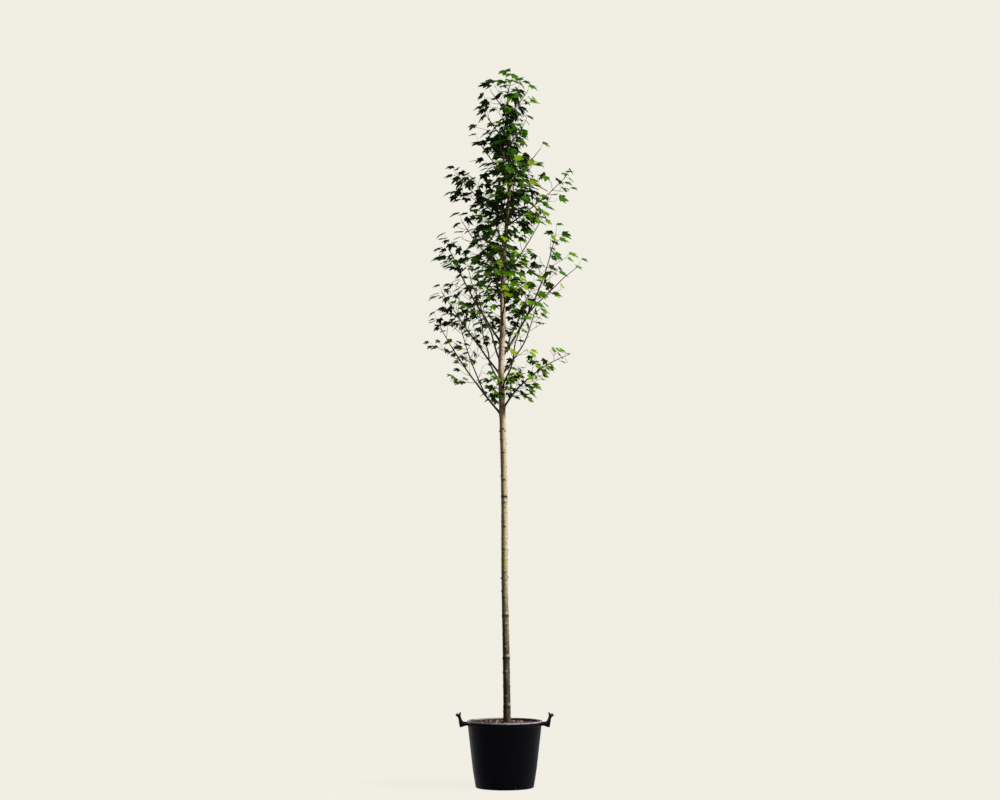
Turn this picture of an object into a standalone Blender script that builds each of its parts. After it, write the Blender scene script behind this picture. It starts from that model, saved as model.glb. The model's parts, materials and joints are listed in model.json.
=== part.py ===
"""A young red maple standard in a round nursery tub, as solids for Blender 4.5 (metres, +Z up).

The origin is the middle of the tub's flat underside. +X is to the right of the tub and -Y is its front.
The trunk leans a little and runs on through the crown. Boughs leave it in opposite pairs, and each ends
where it enters its own mass of twigs and leaves.
"""

import math
import random

import bmesh
import bpy
from mathutils import Matrix, Vector
from mathutils.bvhtree import BVHTree

for old in list(bpy.data.objects):
    bpy.data.objects.remove(old, do_unlink=True)

# ---------------------------------------------------------------- sizes, in metres
GAP = 0.0003  # between two pieces that touch
UP = Vector((0.0, 0.0, 1.0))

# The tub, moulded from black plastic.
TUB_HEIGHT = 0.375
FOOT_RADIUS = 0.166
BELLY_HEIGHT = 0.105
BELLY_RADIUS = 0.183
NECK_HEIGHT = 0.348
NECK_RADIUS = 0.2112
COLLAR_RADIUS = 0.2145
TUB_WALL = 0.0035
TUB_FLOOR = 0.005
FOOT_ROUND = 0.006
LIP_ROUND = 0.004
TUB_SIDES = 40
DRAINS = 8
DRAIN_WIDTH = 0.011
DRAIN_FOOT = 0.013
DRAIN_TOP = 0.036

# The two lifting handles: side plates on the collar and a forked grip between them.
HANDLE_HALF_WIDTH = 0.066
HANDLE_PLATE = 0.014
ARM_FOOT = 0.3505
ARM_TOP = 0.3625
ELBOW_RADIUS = 0.2500
ELBOW_HEIGHT = 0.3430
POST_LEAN = 0.0095
GRIP_FORK_HEIGHT = 0.4020
GRIP_INNER_TIP = (0.2535, 0.4185)
GRIP_OUTER_TIP = (0.2795, 0.4105)
GRIP_WEB = 0.0045

# The potting mix inside the tub.
SOIL_TOP = 0.355

# The trunk: how far its middle stands right of and behind the tub's axis at each height.
TRUNK_FOOT = SOIL_TOP + GAP
TRUNK_BENDS = (
    (TRUNK_FOOT, 0.013, 0.000),
    (0.72, 0.009, 0.003),
    (1.20, 0.000, 0.006),
    (1.66, -0.002, 0.002),
    (2.07, -0.011, -0.004),
    (2.40, -0.020, -0.006),
    (2.69, -0.010, -0.002),
    (2.87, -0.012, 0.006),
    (3.11, 0.001, 0.009),
    (3.30, 0.014, 0.004),
    (3.50, 0.030, -0.004),
    (3.83, 0.016, 0.003),
    (3.96, 0.018, 0.001),
    (4.03, 0.020, 0.000),
)
# The trunk's radius at each height, from the root flare to the leader.
TRUNK_GIRTHS = (
    (TRUNK_FOOT, 0.0265),
    (TRUNK_FOOT + 0.018, 0.0228),
    (TRUNK_FOOT + 0.060, 0.0200),
    (0.72, 0.0186),
    (1.40, 0.0174),
    (2.10, 0.0168),
    (2.55, 0.0162),
    (2.85, 0.0140),
    (3.15, 0.0108),
    (3.50, 0.0092),
    (3.85, 0.0066),
    (4.03, 0.0040),
)
TRUNK_STEP = 0.125
TRUNK_RESOLUTION = 3  # ten sides

# How far the crown reaches left and right of the trunk at each height.
CROWN_REACH = (
    (2.18, 0.14, 0.16),
    (2.30, 0.26, 0.24),
    (2.50, 0.50, 0.39),
    (2.59, 0.42, 0.25),
    (2.80, 0.43, 0.31),
    (3.00, 0.42, 0.50),
    (3.12, 0.43, 0.43),
    (3.22, 0.31, 0.35),
    (3.33, 0.33, 0.28),
    (3.50, 0.42, 0.43),
    (3.70, 0.25, 0.21),
    (3.90, 0.20, 0.16),
    (4.08, 0.15, 0.19),
    (4.20, 0.09, 0.09),
)
CROWN_TOP = 4.215

# The lower limbs. Each leaves its parent at a height (on the trunk) or at a share of its length (on
# another limb), heads for an azimuth (0 is right, 90 is behind), and turns from one angle off the
# vertical to another along its length. Its first share is a bare bough, and the rest is in leaf.
LIMBS = (
    # name, parent, start, azimuth, angle at foot, angle at tip, length, bare share, foot radius
    ("left_low", "trunk", 2.125, 182, 42, 28, 0.65, 0.32, 0.0066),
    ("left_low_fork", "left_low", 0.23, 172, 26, 12, 0.52, 0.30, 0.0044),
    ("right_low", "trunk", 2.160, -5, 30, 70, 0.51, 0.12, 0.0062),
    ("front_low", "trunk", 2.270, -60, 42, 26, 0.56, 0.34, 0.0060),
    ("back_low", "trunk", 2.290, 118, 42, 26, 0.58, 0.34, 0.0060),
    ("left_mid", "trunk", 2.360, 163, 40, 32, 0.60, 0.34, 0.0064),
    ("right_mid", "trunk", 2.365, -20, 44, 14, 0.44, 0.36, 0.0056),
    ("front_mid", "trunk", 2.430, -124, 40, 24, 0.58, 0.36, 0.0060),
    ("back_mid", "trunk", 2.440, 56, 40, 26, 0.58, 0.36, 0.0060),
    ("right_high", "trunk", 2.470, 9, 36, 12, 0.78, 0.46, 0.0070),
    ("right_high_fork", "right_high", 0.40, -9, 44, 52, 0.36, 0.26, 0.0042),
    ("left_high", "trunk", 2.550, 190, 36, 22, 0.66, 0.36, 0.0068),
    ("front_high", "trunk", 2.640, -84, 34, 26, 0.52, 0.30, 0.0056),
    ("back_high", "trunk", 2.660, 92, 34, 26, 0.52, 0.30, 0.0056),
)
LIMB_STEP = 0.075
LIMB_RESOLUTION = 2  # eight sides
LIMB_TIP_RADIUS = 0.0030
LIMB_WANDER = 0.006

# The upper masses grow straight from the trunk, in pairs that turn a quarter from tier to tier.
TIERS = (
    # name, height, azimuth of its first side, that side's angle off the vertical, the other side's
    ("tier_1", 2.800, 68, 40, 40),
    ("tier_2", 2.945, 4, 34, 40),
    ("tier_3", 3.110, 98, 40, 40),
    ("tier_4", 3.250, -6, 51, 46),
    ("tier_5", 3.390, 84, 42, 42),
    ("tier_6", 3.510, 8, 42, 42),
    ("tier_7", 3.630, 96, 38, 38),
    ("tier_8", 3.730, -4, 38, 38),
    ("tier_9", 3.825, 80, 42, 42),
    ("tier_10", 3.915, 6, 40, 38),
)
TIER_FOOT_RADIUS = 0.0046
TIP_ROOM = 0.080  # what a tip leaf adds to a stem's reach
SIDE_NAMES = ("right", "back", "left", "front")

# Twigs and leaves.
TWIG_CORNERS = 3
STEM_RADIUS = 0.0040
STEM_TIP_RADIUS = 0.0024
TWIG_RADIUS = 0.0029
TWIG_TIP_RADIUS = 0.0022
NODE_STEP = 0.056
FULL_STEM = 0.26  # a stem this long has leaves of full size, and shorter ones have smaller leaves
LEAST_VIGOUR = 0.78
SIDE_TWIG = 0.150
LEAF_LENGTH = 0.108
LEAF_WIDTH = 0.100
LEAF_THICKNESS = 0.0038
LEAF_THICKEST = 0.26
LEAF_WIDEST = 0.52
LEAF_SUNK = 0.0004
SPACE_MARGIN = 0.0020
KEEP_CLEAR = 0.0016


# ---------------------------------------------------------------- collections and materials
def new_collection(name, parent=None):
    made = bpy.data.collections.new(name)
    (parent or bpy.context.scene.collection).children.link(made)
    return made


TREE = new_collection("red_maple")
CUTTERS = new_collection("cutters")
CUTTERS.hide_render = True


def material(name, colour, roughness):
    made = bpy.data.materials.new(name)
    made.use_nodes = True
    made.diffuse_color = (*colour, 1.0)
    shader = made.node_tree.nodes["Principled BSDF"]
    shader.inputs["Base Color"].default_value = (*colour, 1.0)
    shader.inputs["Roughness"].default_value = roughness
    shader.inputs["Metallic"].default_value = 0.0
    return made


TUB_PLASTIC = material("tub_plastic", (0.012, 0.012, 0.014), 0.38)
HANDLE_PLASTIC = material("handle_plastic", (0.014, 0.014, 0.016), 0.45)
POTTING_MIX = material("potting_mix", (0.085, 0.040, 0.026), 0.95)
TRUNK_BARK = material("trunk_bark", (0.245, 0.200, 0.125), 0.85)
BOUGH_BARK = material("bough_bark", (0.120, 0.085, 0.060), 0.80)
LEAF_GREENS = (
    material("leaf_deep_green", (0.030, 0.085, 0.018), 0.55),
    material("leaf_mid_green", (0.060, 0.160, 0.022), 0.55),
    material("leaf_fresh_green", (0.130, 0.270, 0.030), 0.55),
)


# ---------------------------------------------------------------- shapes
def add_object(name, data, collection):
    made = bpy.data.objects.new(name, data)
    collection.objects.link(made)
    return made


def finish(obj, surface, sharp=40.0):
    obj.data.materials.clear()
    obj.data.materials.append(surface)
    if obj.type == "MESH":
        obj.data.shade_smooth()
        obj.data.set_sharp_from_angle(angle=math.radians(sharp))
    return obj


def as_mesh(obj, name, collection, weld=True):
    """The evaluated shape of a curve or a modified object, as a plain mesh object that replaces it."""
    bpy.context.view_layer.update()
    graph = bpy.context.evaluated_depsgraph_get()
    mesh = bpy.data.meshes.new_from_object(obj.evaluated_get(graph))
    mesh.name = name
    if weld:
        welded = bmesh.new()
        welded.from_mesh(mesh)
        bmesh.ops.remove_doubles(welded, verts=welded.verts, dist=1e-6)
        bmesh.ops.recalc_face_normals(welded, faces=welded.faces)
        welded.to_mesh(mesh)
        welded.free()
    matrix = obj.matrix_world.copy()
    bpy.data.objects.remove(obj, do_unlink=True)
    made = add_object(name, mesh, collection)
    made.matrix_world = matrix
    return made


def turned(name, profile, sides, collection):
    """A profile in the XZ plane, run round the Z axis by a Screw modifier."""
    mesh = bpy.data.meshes.new(name)
    edges = [(i, i + 1) for i in range(len(profile) - 1)]
    mesh.from_pydata([(r, 0.0, z) for r, z in profile], edges, [])
    made = add_object(name, mesh, collection)
    screw = made.modifiers.new("turn", "SCREW")
    screw.axis = "Z"
    screw.angle = 2.0 * math.pi
    screw.steps = sides
    screw.render_steps = sides
    screw.use_merge_vertices = True
    screw.merge_threshold = 0.0001
    return made


def tube(name, points, radii, collection, resolution=2, profile=None):
    """A tapering limb: a poly curve with a round bevel, or with a profile object of few corners."""
    curve = bpy.data.curves.new(name, "CURVE")
    curve.dimensions = "3D"
    curve.use_fill_caps = True
    if profile is None:
        curve.bevel_depth = 1.0
        curve.bevel_resolution = resolution
    else:
        curve.bevel_mode = "OBJECT"
        curve.bevel_object = profile
    spline = curve.splines.new("POLY")
    spline.points.add(len(points) - 1)
    for target, point, radius in zip(spline.points, points, radii):
        target.co = (*point, 1.0)
        target.radius = radius
    made = add_object(name, curve, collection)
    return as_mesh(made, name, collection)


def plate(name, outline, width, middle, collection):
    """A flat outline in the XZ plane, `width` thick along Y about `middle`."""
    curve = bpy.data.curves.new(name, "CURVE")
    curve.dimensions = "2D"
    curve.fill_mode = "BOTH"
    curve.extrude = width / 2.0
    spline = curve.splines.new("POLY")
    spline.points.add(len(outline) - 1)
    for target, (x, z) in zip(spline.points, outline):
        target.co = (x, z, 0.0, 1.0)
    spline.use_cyclic_u = True
    made = add_object(name, curve, collection)
    made.rotation_euler = (math.pi / 2.0, 0.0, 0.0)
    made.location = (0.0, middle, 0.0)
    return as_mesh(made, name, collection)


def boolean(obj, operation, other=None, collection=None):
    step = obj.modifiers.new(operation.lower(), "BOOLEAN")
    step.operation = operation
    step.solver = "EXACT"
    if collection is None:
        step.object = other
    else:
        step.operand_type = "COLLECTION"
        step.collection = collection
    return step


def as_cutter(obj):
    obj.hide_render = True
    obj.display_type = "WIRE"
    return obj


def drop_scrap(obj):
    """Keeps an object's largest shell: loose scrap goes, and a hollow sealed by fusing is filled."""
    mesh = bmesh.new()
    mesh.from_mesh(obj.data)
    mesh.faces.ensure_lookup_table()
    shells = []
    seen = set()
    for face in mesh.faces:
        if face.index in seen:
            continue
        seen.add(face.index)
        shell = [face]
        for member in shell:
            for edge in member.edges:
                for near in edge.link_faces:
                    if near.index not in seen:
                        seen.add(near.index)
                        shell.append(near)
        shells.append(shell)
    shells.sort(key=len, reverse=True)
    for shell in shells[1:]:
        bmesh.ops.delete(mesh, geom=shell, context="FACES")
    loose = [v for v in mesh.verts if not v.link_faces]
    bmesh.ops.delete(mesh, geom=loose, context="VERTS")
    mesh.to_mesh(obj.data)
    mesh.free()
    return len(shells) - 1


def fuse(name, trunk_piece, pieces, solver="EXACT"):
    """One Boolean union of a piece with a collection of others, applied."""
    joined = new_collection(name + "_pieces")
    for piece in pieces:
        for holder in list(piece.users_collection):
            holder.objects.unlink(piece)
        joined.objects.link(piece)
    step = boolean(trunk_piece, "UNION", collection=joined)
    step.solver = solver
    result = as_mesh(trunk_piece, name, TREE, weld=False)
    for piece in list(joined.objects):
        bpy.data.objects.remove(piece, do_unlink=True)
    bpy.data.collections.remove(joined)
    lost = drop_scrap(result)
    return result, lost


# ---------------------------------------------------------------- the tub, its handles and the soil
def wall_radius(height):
    """The tub's outer radius at a height: a steeper foot below the belly, then a straight wall."""
    if height < BELLY_HEIGHT:
        return FOOT_RADIUS + (BELLY_RADIUS - FOOT_RADIUS) * height / BELLY_HEIGHT
    share = (height - BELLY_HEIGHT) / (NECK_HEIGHT - BELLY_HEIGHT)
    return BELLY_RADIUS + (NECK_RADIUS - BELLY_RADIUS) * min(share, 1.0)


def tub_profile():
    """From the inner floor up the inner wall, over the rolled lip and down the outside."""
    inner_lip = COLLAR_RADIUS - TUB_WALL - 2.0 * LIP_ROUND + 0.001
    return (
        (0.0, TUB_FLOOR),
        (wall_radius(TUB_FLOOR) - TUB_WALL, TUB_FLOOR),
        (BELLY_RADIUS - TUB_WALL, BELLY_HEIGHT),
        (NECK_RADIUS - TUB_WALL - 0.002, TUB_HEIGHT - 0.014),
        (inner_lip, TUB_HEIGHT - 0.003),
        (inner_lip + 0.0025, TUB_HEIGHT),
        (COLLAR_RADIUS - 0.0025, TUB_HEIGHT),
        (COLLAR_RADIUS, TUB_HEIGHT - LIP_ROUND),
        (COLLAR_RADIUS, NECK_HEIGHT + 0.002),
        (NECK_RADIUS, NECK_HEIGHT),
        (BELLY_RADIUS, BELLY_HEIGHT),
        (wall_radius(FOOT_ROUND), FOOT_ROUND),
        (FOOT_RADIUS - FOOT_ROUND * 0.7, 0.0),
        (0.0, 0.0),
    )


def make_tub():
    tub = turned("pot", tub_profile(), TUB_SIDES, TREE)
    middle = (DRAIN_FOOT + DRAIN_TOP) / 2.0
    for i in range(DRAINS):
        angle = math.radians(22.5 + 360.0 * i / DRAINS)
        bpy.ops.mesh.primitive_cube_add(size=1.0)
        slot = bpy.context.active_object
        slot.name = f"drain_cutter_{i + 1}"
        slot.dimensions = (0.030, DRAIN_WIDTH, DRAIN_TOP - DRAIN_FOOT)
        reach = wall_radius(middle)
        slot.location = (reach * math.cos(angle), reach * math.sin(angle), middle)
        slot.rotation_euler = (0.0, 0.0, angle)
        for holder in list(slot.users_collection):
            holder.objects.unlink(slot)
        CUTTERS.objects.link(as_cutter(slot))
        boolean(tub, "DIFFERENCE", slot)
    return finish(tub, TUB_PLASTIC)


def make_soil():
    foot = TUB_FLOOR + GAP
    inner_top = NECK_RADIUS - TUB_WALL - 0.002
    share = (SOIL_TOP - BELLY_HEIGHT) / (TUB_HEIGHT - 0.014 - BELLY_HEIGHT)
    top_radius = BELLY_RADIUS - TUB_WALL + (inner_top - BELLY_RADIUS + TUB_WALL) * share
    profile = (
        (0.0, SOIL_TOP),
        (top_radius - GAP - 0.0001, SOIL_TOP),
        (BELLY_RADIUS - TUB_WALL - GAP - 0.0001, BELLY_HEIGHT),
        (wall_radius(TUB_FLOOR) - TUB_WALL - GAP - 0.0001, foot),
        (0.0, foot),
    )
    return finish(turned("soil", profile, TUB_SIDES, TREE), POTTING_MIX)


def grip_outline():
    """The grip seen from its end: a stalk that forks into an inner and an outer flange."""
    fork_radius = ELBOW_RADIUS + POST_LEAN
    inner_r, inner_z = GRIP_INNER_TIP
    outer_r, outer_z = GRIP_OUTER_TIP
    web = GRIP_WEB
    return (
        (fork_radius - 0.0055, GRIP_FORK_HEIGHT - 0.009),
        (fork_radius + 0.0055, GRIP_FORK_HEIGHT - 0.010),
        (fork_radius + 0.0085, GRIP_FORK_HEIGHT - 0.002),
        (outer_r, outer_z - web),
        (outer_r - 0.001, outer_z + 0.001),
        (fork_radius + 0.0040, GRIP_FORK_HEIGHT + 0.008),
        (inner_r + web * 0.7, inner_z),
        (inner_r - web * 0.6, inner_z - 0.002),
    )


def side_outline():
    """The side plate seen from its end: arm, gusset, elbow and post."""
    fork_radius = ELBOW_RADIUS + POST_LEAN
    return (
        (COLLAR_RADIUS - 0.020, ARM_FOOT),
        (COLLAR_RADIUS + 0.008, ARM_FOOT),
        (ELBOW_RADIUS - 0.006, ELBOW_HEIGHT),
        (ELBOW_RADIUS + 0.006, ELBOW_HEIGHT - 0.001),
        (fork_radius + 0.0050, GRIP_FORK_HEIGHT - 0.004),
        (fork_radius - 0.0050, GRIP_FORK_HEIGHT - 0.003),
        (ELBOW_RADIUS - 0.0045, ELBOW_HEIGHT + 0.030),
        (ELBOW_RADIUS - 0.0130, ELBOW_HEIGHT + 0.0215),
        (COLLAR_RADIUS + 0.006, ARM_TOP),
        (COLLAR_RADIUS - 0.020, ARM_TOP),
    )


def make_handle(name, turn):
    half = HANDLE_HALF_WIDTH
    grip = plate("grip", grip_outline(), 2.0 * half, 0.0, TREE)
    sides = [
        plate("side", side_outline(), HANDLE_PLATE, side * (half - HANDLE_PLATE / 2.0 - 0.0005), TREE)
        for side in (-1.0, 1.0)
    ]
    handle, _ = fuse(name, grip, sides)
    bpy.ops.mesh.primitive_cylinder_add(
        vertices=96, radius=COLLAR_RADIUS + 2.0 * GAP, depth=0.2, location=(0.0, 0.0, ARM_FOOT)
    )
    cutter = bpy.context.active_object
    for holder in list(cutter.users_collection):
        holder.objects.unlink(cutter)
    TREE.objects.link(cutter)
    boolean(handle, "DIFFERENCE", cutter)
    handle = as_mesh(handle, name, TREE)
    bpy.data.objects.remove(cutter, do_unlink=True)
    drop_scrap(handle)
    handle.data.transform(handle.matrix_world)
    handle.matrix_world = Matrix.Identity(4)
    handle.rotation_euler = (0.0, 0.0, turn)
    return finish(handle, HANDLE_PLASTIC, 30.0)


# ---------------------------------------------------------------- paths
def read_rows(rows, height, column):
    """A value read off rows that start with a height, straight between two rows."""
    if height <= rows[0][0]:
        return rows[0][column]
    for low, high in zip(rows, rows[1:]):
        if height <= high[0]:
            share = (height - low[0]) / (high[0] - low[0])
            return low[column] + (high[column] - low[column]) * share
    return rows[-1][column]


def smooth_rows(rows, height, column):
    """The same on a smooth curve through the rows."""
    last = len(rows) - 1
    for i in range(last):
        if height <= rows[i + 1][0] or i == last - 1:
            z0, z1 = rows[i][0], rows[i + 1][0]
            v0, v1 = rows[i][column], rows[i + 1][column]
            before = rows[max(i - 1, 0)]
            after = rows[min(i + 2, last)]
            slope0 = (v1 - before[column]) / (z1 - before[0])
            slope1 = (after[column] - v0) / (after[0] - z0)
            if i == 0:
                slope0 = 0.0
            t = min(max((height - z0) / (z1 - z0), 0.0), 1.0)
            span = z1 - z0
            return (
                v0 * (1 + 2 * t) * (1 - t) ** 2
                + slope0 * span * t * (1 - t) ** 2
                + v1 * t * t * (3 - 2 * t)
                - slope1 * span * t * t * (1 - t)
            )
    return rows[-1][column]


def trunk_point(height):
    return Vector((smooth_rows(TRUNK_BENDS, height, 1), smooth_rows(TRUNK_BENDS, height, 2), height))


def crown_reach(height, azimuth):
    left = read_rows(CROWN_REACH, height, 1)
    right = read_rows(CROWN_REACH, height, 2)
    return left + (right - left) * (0.5 + 0.5 * math.cos(azimuth))


def heading(azimuth, angle):
    """The direction that heads for an azimuth, at an angle off the vertical."""
    return Vector(
        (math.sin(angle) * math.cos(azimuth), math.sin(angle) * math.sin(azimuth), math.cos(angle))
    )


def limb_path(start, azimuth, foot_angle, tip_angle, length, rng):
    """Points along a limb that turns evenly from its foot's angle to its tip's and wanders a little."""
    count = max(4, round(length / LIMB_STEP))
    swing = rng.uniform(0.0, 2.0 * math.pi)
    points = [start.copy()]
    for i in range(count):
        share = (i + 0.5) / count
        angle = math.radians(foot_angle + (tip_angle - foot_angle) * share)
        bend = math.radians(azimuth) + 0.16 * math.sin(swing + 4.0 * share)
        points.append(points[-1] + heading(bend, angle) * (length / count))
    side = Vector((-math.sin(math.radians(azimuth)), math.cos(math.radians(azimuth)), 0.0))
    for i, point in enumerate(points):
        if i:
            point += side * LIMB_WANDER * math.sin(swing + 2.1 * i)
    return points


def path_length(points):
    return sum((b - a).length for a, b in zip(points, points[1:]))


def at_length(points, distance):
    """The point and the direction this far along a path."""
    for a, b in zip(points, points[1:]):
        step = (b - a).length
        if distance <= step or b is points[-1]:
            along = (b - a) / step
            return a + along * distance, along
        distance -= step
    return points[-1].copy(), (points[-1] - points[-2]).normalized()


def split_path(points, distance):
    """The path up to a distance, and the rest of it, which sets off in the first one's direction."""
    first = [points[0].copy()]
    walked = 0.0
    for i, (a, b) in enumerate(zip(points, points[1:])):
        step = (b - a).length
        if walked + step >= distance:
            cut, along = at_length(points, distance)
            if (cut - first[-1]).length > 0.012:
                first.append(cut)
            else:
                first[-1] = cut
            along = (first[-1] - first[-2]).normalized()
            rest = [cut + along * GAP, cut + along * 0.010]
            rest += [p.copy() for p in points[i + 1 :] if (p - cut).length > 0.025]
            return first, rest
        first.append(b.copy())
        walked += step
    return first, []


def tapered(points, foot, tip):
    total = path_length(points)
    walked = 0.0
    radii = [foot]
    for a, b in zip(points, points[1:]):
        walked += (b - a).length
        radii.append(foot + (tip - foot) * walked / total)
    return radii


# ---------------------------------------------------------------- what is in the way
class Obstacles:
    """Everything that stands already, each piece a little fatter than it is."""

    def __init__(self):
        self.items = []

    def add(self, owner, vertices, faces):
        middle = sum(vertices, Vector()) / len(vertices)
        reach = max((v - middle).length for v in vertices)
        self.items.append((owner, middle, reach, BVHTree.FromPolygons(vertices, faces)))

    def touches(self, vertices, faces, ignored):
        middle = sum(vertices, Vector()) / len(vertices)
        reach = max((v - middle).length for v in vertices)
        tree = None
        for owner, centre, size, other in self.items:
            if owner in ignored or (centre - middle).length > size + reach:
                continue
            tree = tree or BVHTree.FromPolygons(vertices, faces)
            if tree.overlap(other):
                return True
        return False


def prism(points, radii):
    """Corners and faces of a three-sided tube, for tests."""
    vertices = []
    faces = []
    for i, (point, radius) in enumerate(zip(points, radii)):
        ahead = points[min(i + 1, len(points) - 1)] - points[max(i - 1, 0)]
        across = ahead.orthogonal().normalized()
        turn = Matrix.Rotation(2.0 * math.pi / 3.0, 3, ahead.normalized())
        for _ in range(3):
            vertices.append(point + across * radius)
            across = turn @ across
        if i:
            for k in range(3):
                low, high = 3 * (i - 1), 3 * i
                n = (k + 1) % 3
                faces.append((low + k, low + n, high + n, high + k))
    end = 3 * (len(points) - 1)
    faces.append((0, 2, 1))
    faces.append((end, end + 1, end + 2))
    return vertices, faces


OBSTACLES = Obstacles()


# ---------------------------------------------------------------- trunk and boughs
def make_trunk():
    top = TRUNK_BENDS[-1][0]
    steps = round((top - TRUNK_FOOT) / TRUNK_STEP)
    heights = [TRUNK_FOOT, TRUNK_FOOT + 0.009, TRUNK_FOOT + 0.022, TRUNK_FOOT + 0.060]
    heights += [TRUNK_FOOT + 0.06 + (top - TRUNK_FOOT - 0.06) * i / steps for i in range(1, steps + 1)]
    points = [trunk_point(z) for z in heights]
    radii = [smooth_rows(TRUNK_GIRTHS, z, 1) for z in heights]
    radii[0] = TRUNK_GIRTHS[0][1]
    points[1].xy = points[0].xy
    trunk = tube("trunk", points, radii, TREE, TRUNK_RESOLUTION)
    clearance = tube("trunk_clearance", points, [r + GAP for r in radii], CUTTERS, TRUNK_RESOLUTION)
    as_cutter(clearance)
    OBSTACLES.add("trunk", *prism(points, [2.0 * (r * 0.62 + KEEP_CLEAR) for r in radii]))
    return finish(trunk, TRUNK_BARK, 60.0), clearance, points


def bough_radius(foot, share):
    return foot + (LIMB_TIP_RADIUS - foot) * share


PATHS = {}


def make_limb(row, trunk_clearance):
    """A bough up to where it enters its leaves, and the path on which they go on."""
    name, parent, start, azimuth, foot_angle, tip_angle, length, bare, foot = row
    rng = random.Random(name)
    if parent == "trunk":
        origin = trunk_point(start)
        cutter = trunk_clearance
    else:
        origin, _ = at_length(PATHS[parent], start * path_length(PATHS[parent]))
        cutter = bpy.data.objects[parent + "_clearance"]
    path = limb_path(origin, azimuth, foot_angle, tip_angle, length, rng)
    PATHS[name] = path
    bough_points, leafy = split_path(path, length * bare)
    radii = tapered(bough_points, foot, bough_radius(foot, bare))
    bough = tube("bough_" + name, bough_points, radii, TREE, LIMB_RESOLUTION)
    if any(other[1] == name for other in LIMBS):
        fatter = tube(name + "_clearance", bough_points, [r + GAP for r in radii], CUTTERS, 2)
        as_cutter(fatter)
    boolean(bough, "DIFFERENCE", cutter)
    bough = as_mesh(bough, "bough_" + name, TREE)
    drop_scrap(bough)
    OBSTACLES.add("bough_" + name, *prism(bough_points, [2.0 * (r * 0.62 + KEEP_CLEAR) for r in radii]))
    return finish(bough, BOUGH_BARK, 60.0), leafy, radii[-1]


# ---------------------------------------------------------------- foliage
def stem_profile():
    """The outline that the twigs are drawn along: a triangle of radius one."""
    curve = bpy.data.curves.new("twig_outline", "CURVE")
    curve.dimensions = "2D"
    spline = curve.splines.new("POLY")
    spline.points.add(TWIG_CORNERS - 1)
    for i, point in enumerate(spline.points):
        angle = 2.0 * math.pi * i / TWIG_CORNERS
        point.co = (math.cos(angle), math.sin(angle), 0.0, 1.0)
    spline.use_cyclic_u = True
    return as_cutter(add_object("twig_outline", curve, CUTTERS))


def leaf_shape(length, width, thickness):
    """Corners and faces of a leaf: a flat octahedron drawn out to a kite, its root at the origin."""
    mesh = bmesh.new()
    bmesh.ops.create_uvsphere(mesh, u_segments=4, v_segments=2, radius=1.0)
    for vertex in mesh.verts:
        x, y, z = vertex.co
        if abs(z) > 0.5:
            vertex.co = (length * LEAF_THICKEST, 0.0, z * thickness / 2.0)
        elif abs(x) > 0.5:
            vertex.co = (length if x > 0.0 else 0.0, 0.0, 0.0)
        else:
            vertex.co = (length * LEAF_WIDEST, y * width / 2.0, 0.0)
    mesh.verts.index_update()
    bmesh.ops.recalc_face_normals(mesh, faces=mesh.faces)
    corners = [v.co.copy() for v in mesh.verts]
    faces = [tuple(v.index for v in f.verts) for f in mesh.faces]
    mesh.free()
    return corners, faces


def across(along, angle):
    """A direction square to another one, turned about it by an angle from the level."""
    level = along.cross(UP)
    if level.length < 1e-3:
        level = Vector((1.0, 0.0, 0.0))
    return Matrix.Rotation(angle, 3, along) @ level.normalized()


def leaf_matrix(root, along, tilt, roll):
    """Places a leaf at its root, pointing along, its face turned up and then tilted and rolled."""
    x = along.normalized()
    z = UP - x * x.dot(UP)
    z = z.normalized() if z.length > 1e-3 else Vector((1.0, 0.0, 0.0))
    z = Matrix.Rotation(roll, 3, x) @ z
    y = z.cross(x)
    z = Matrix.Rotation(tilt, 3, y) @ z
    x = y.cross(z)
    turn = Matrix((x, y, z)).transposed().to_4x4()
    return Matrix.Translation(root) @ turn


class Mass:
    """One mass of leaves: its stem's path, and the twigs and leaves that found room."""

    def __init__(self, name, path, radius, leader=False):
        self.name = name
        self.path = path
        self.radius = radius
        self.leader = leader
        self.vigour = min(1.0, max(LEAST_VIGOUR, path_length(path) / FULL_STEM))
        if leader:
            self.vigour = 0.92
        self.twigs = []
        self.leaves = []
        self.skipped = 0


MASSES = []


def distance_to_path(point, path):
    best = 1e9
    for a, b in zip(path, path[1:]):
        ab = b - a
        t = min(max((point - a).dot(ab) / ab.length_squared, 0.0), 1.0)
        best = min(best, (point - a - ab * t).length)
    return best


def in_space(mass, point):
    """Whether a point is nearer this mass's stem than any other's, and inside the crown."""
    foot = trunk_point(min(point.z, TRUNK_BENDS[-1][0]))
    out = (point - foot).to_2d()
    if out.length > crown_reach(point.z, math.atan2(out.y, out.x)) or point.z > CROWN_TOP:
        return False
    own = distance_to_path(point, mass.path) + SPACE_MARGIN
    for other in MASSES:
        if other is not mass and (other.path[0] - point).length < 0.9:
            if distance_to_path(point, other.path) < own:
                return False
    return True


def side_twigs(mass):
    """The side twigs' paths by the decussate rule: opposite pairs, each a quarter turn on."""
    rng = random.Random(mass.name + " twigs")
    total = path_length(mass.path)
    count = max(2, round(total / (NODE_STEP * mass.vigour)))
    turn = rng.uniform(0.0, math.pi)
    made = []
    for i in range(count):
        share = (i + 0.75) / (count + 0.35)
        for side in (0, 1):
            swing = rng.uniform(-0.3, 0.3)
            size = rng.uniform(0.85, 1.15)
            rise = rng.uniform(0.45, 0.75)
            if i % 2 == 1:
                continue
            centre, along = at_length(mass.path, total * share + 0.009 * side)
            out = across(along, turn + math.pi / 2.0 * (i // 2) + math.pi * side + swing)
            length = SIDE_TWIG * (1.05 - 0.62 * share) * size
            aim = (out + along * rise + UP * 0.12).normalized()
            made.append((share, [centre, centre + aim * length]))
    return made


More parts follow.
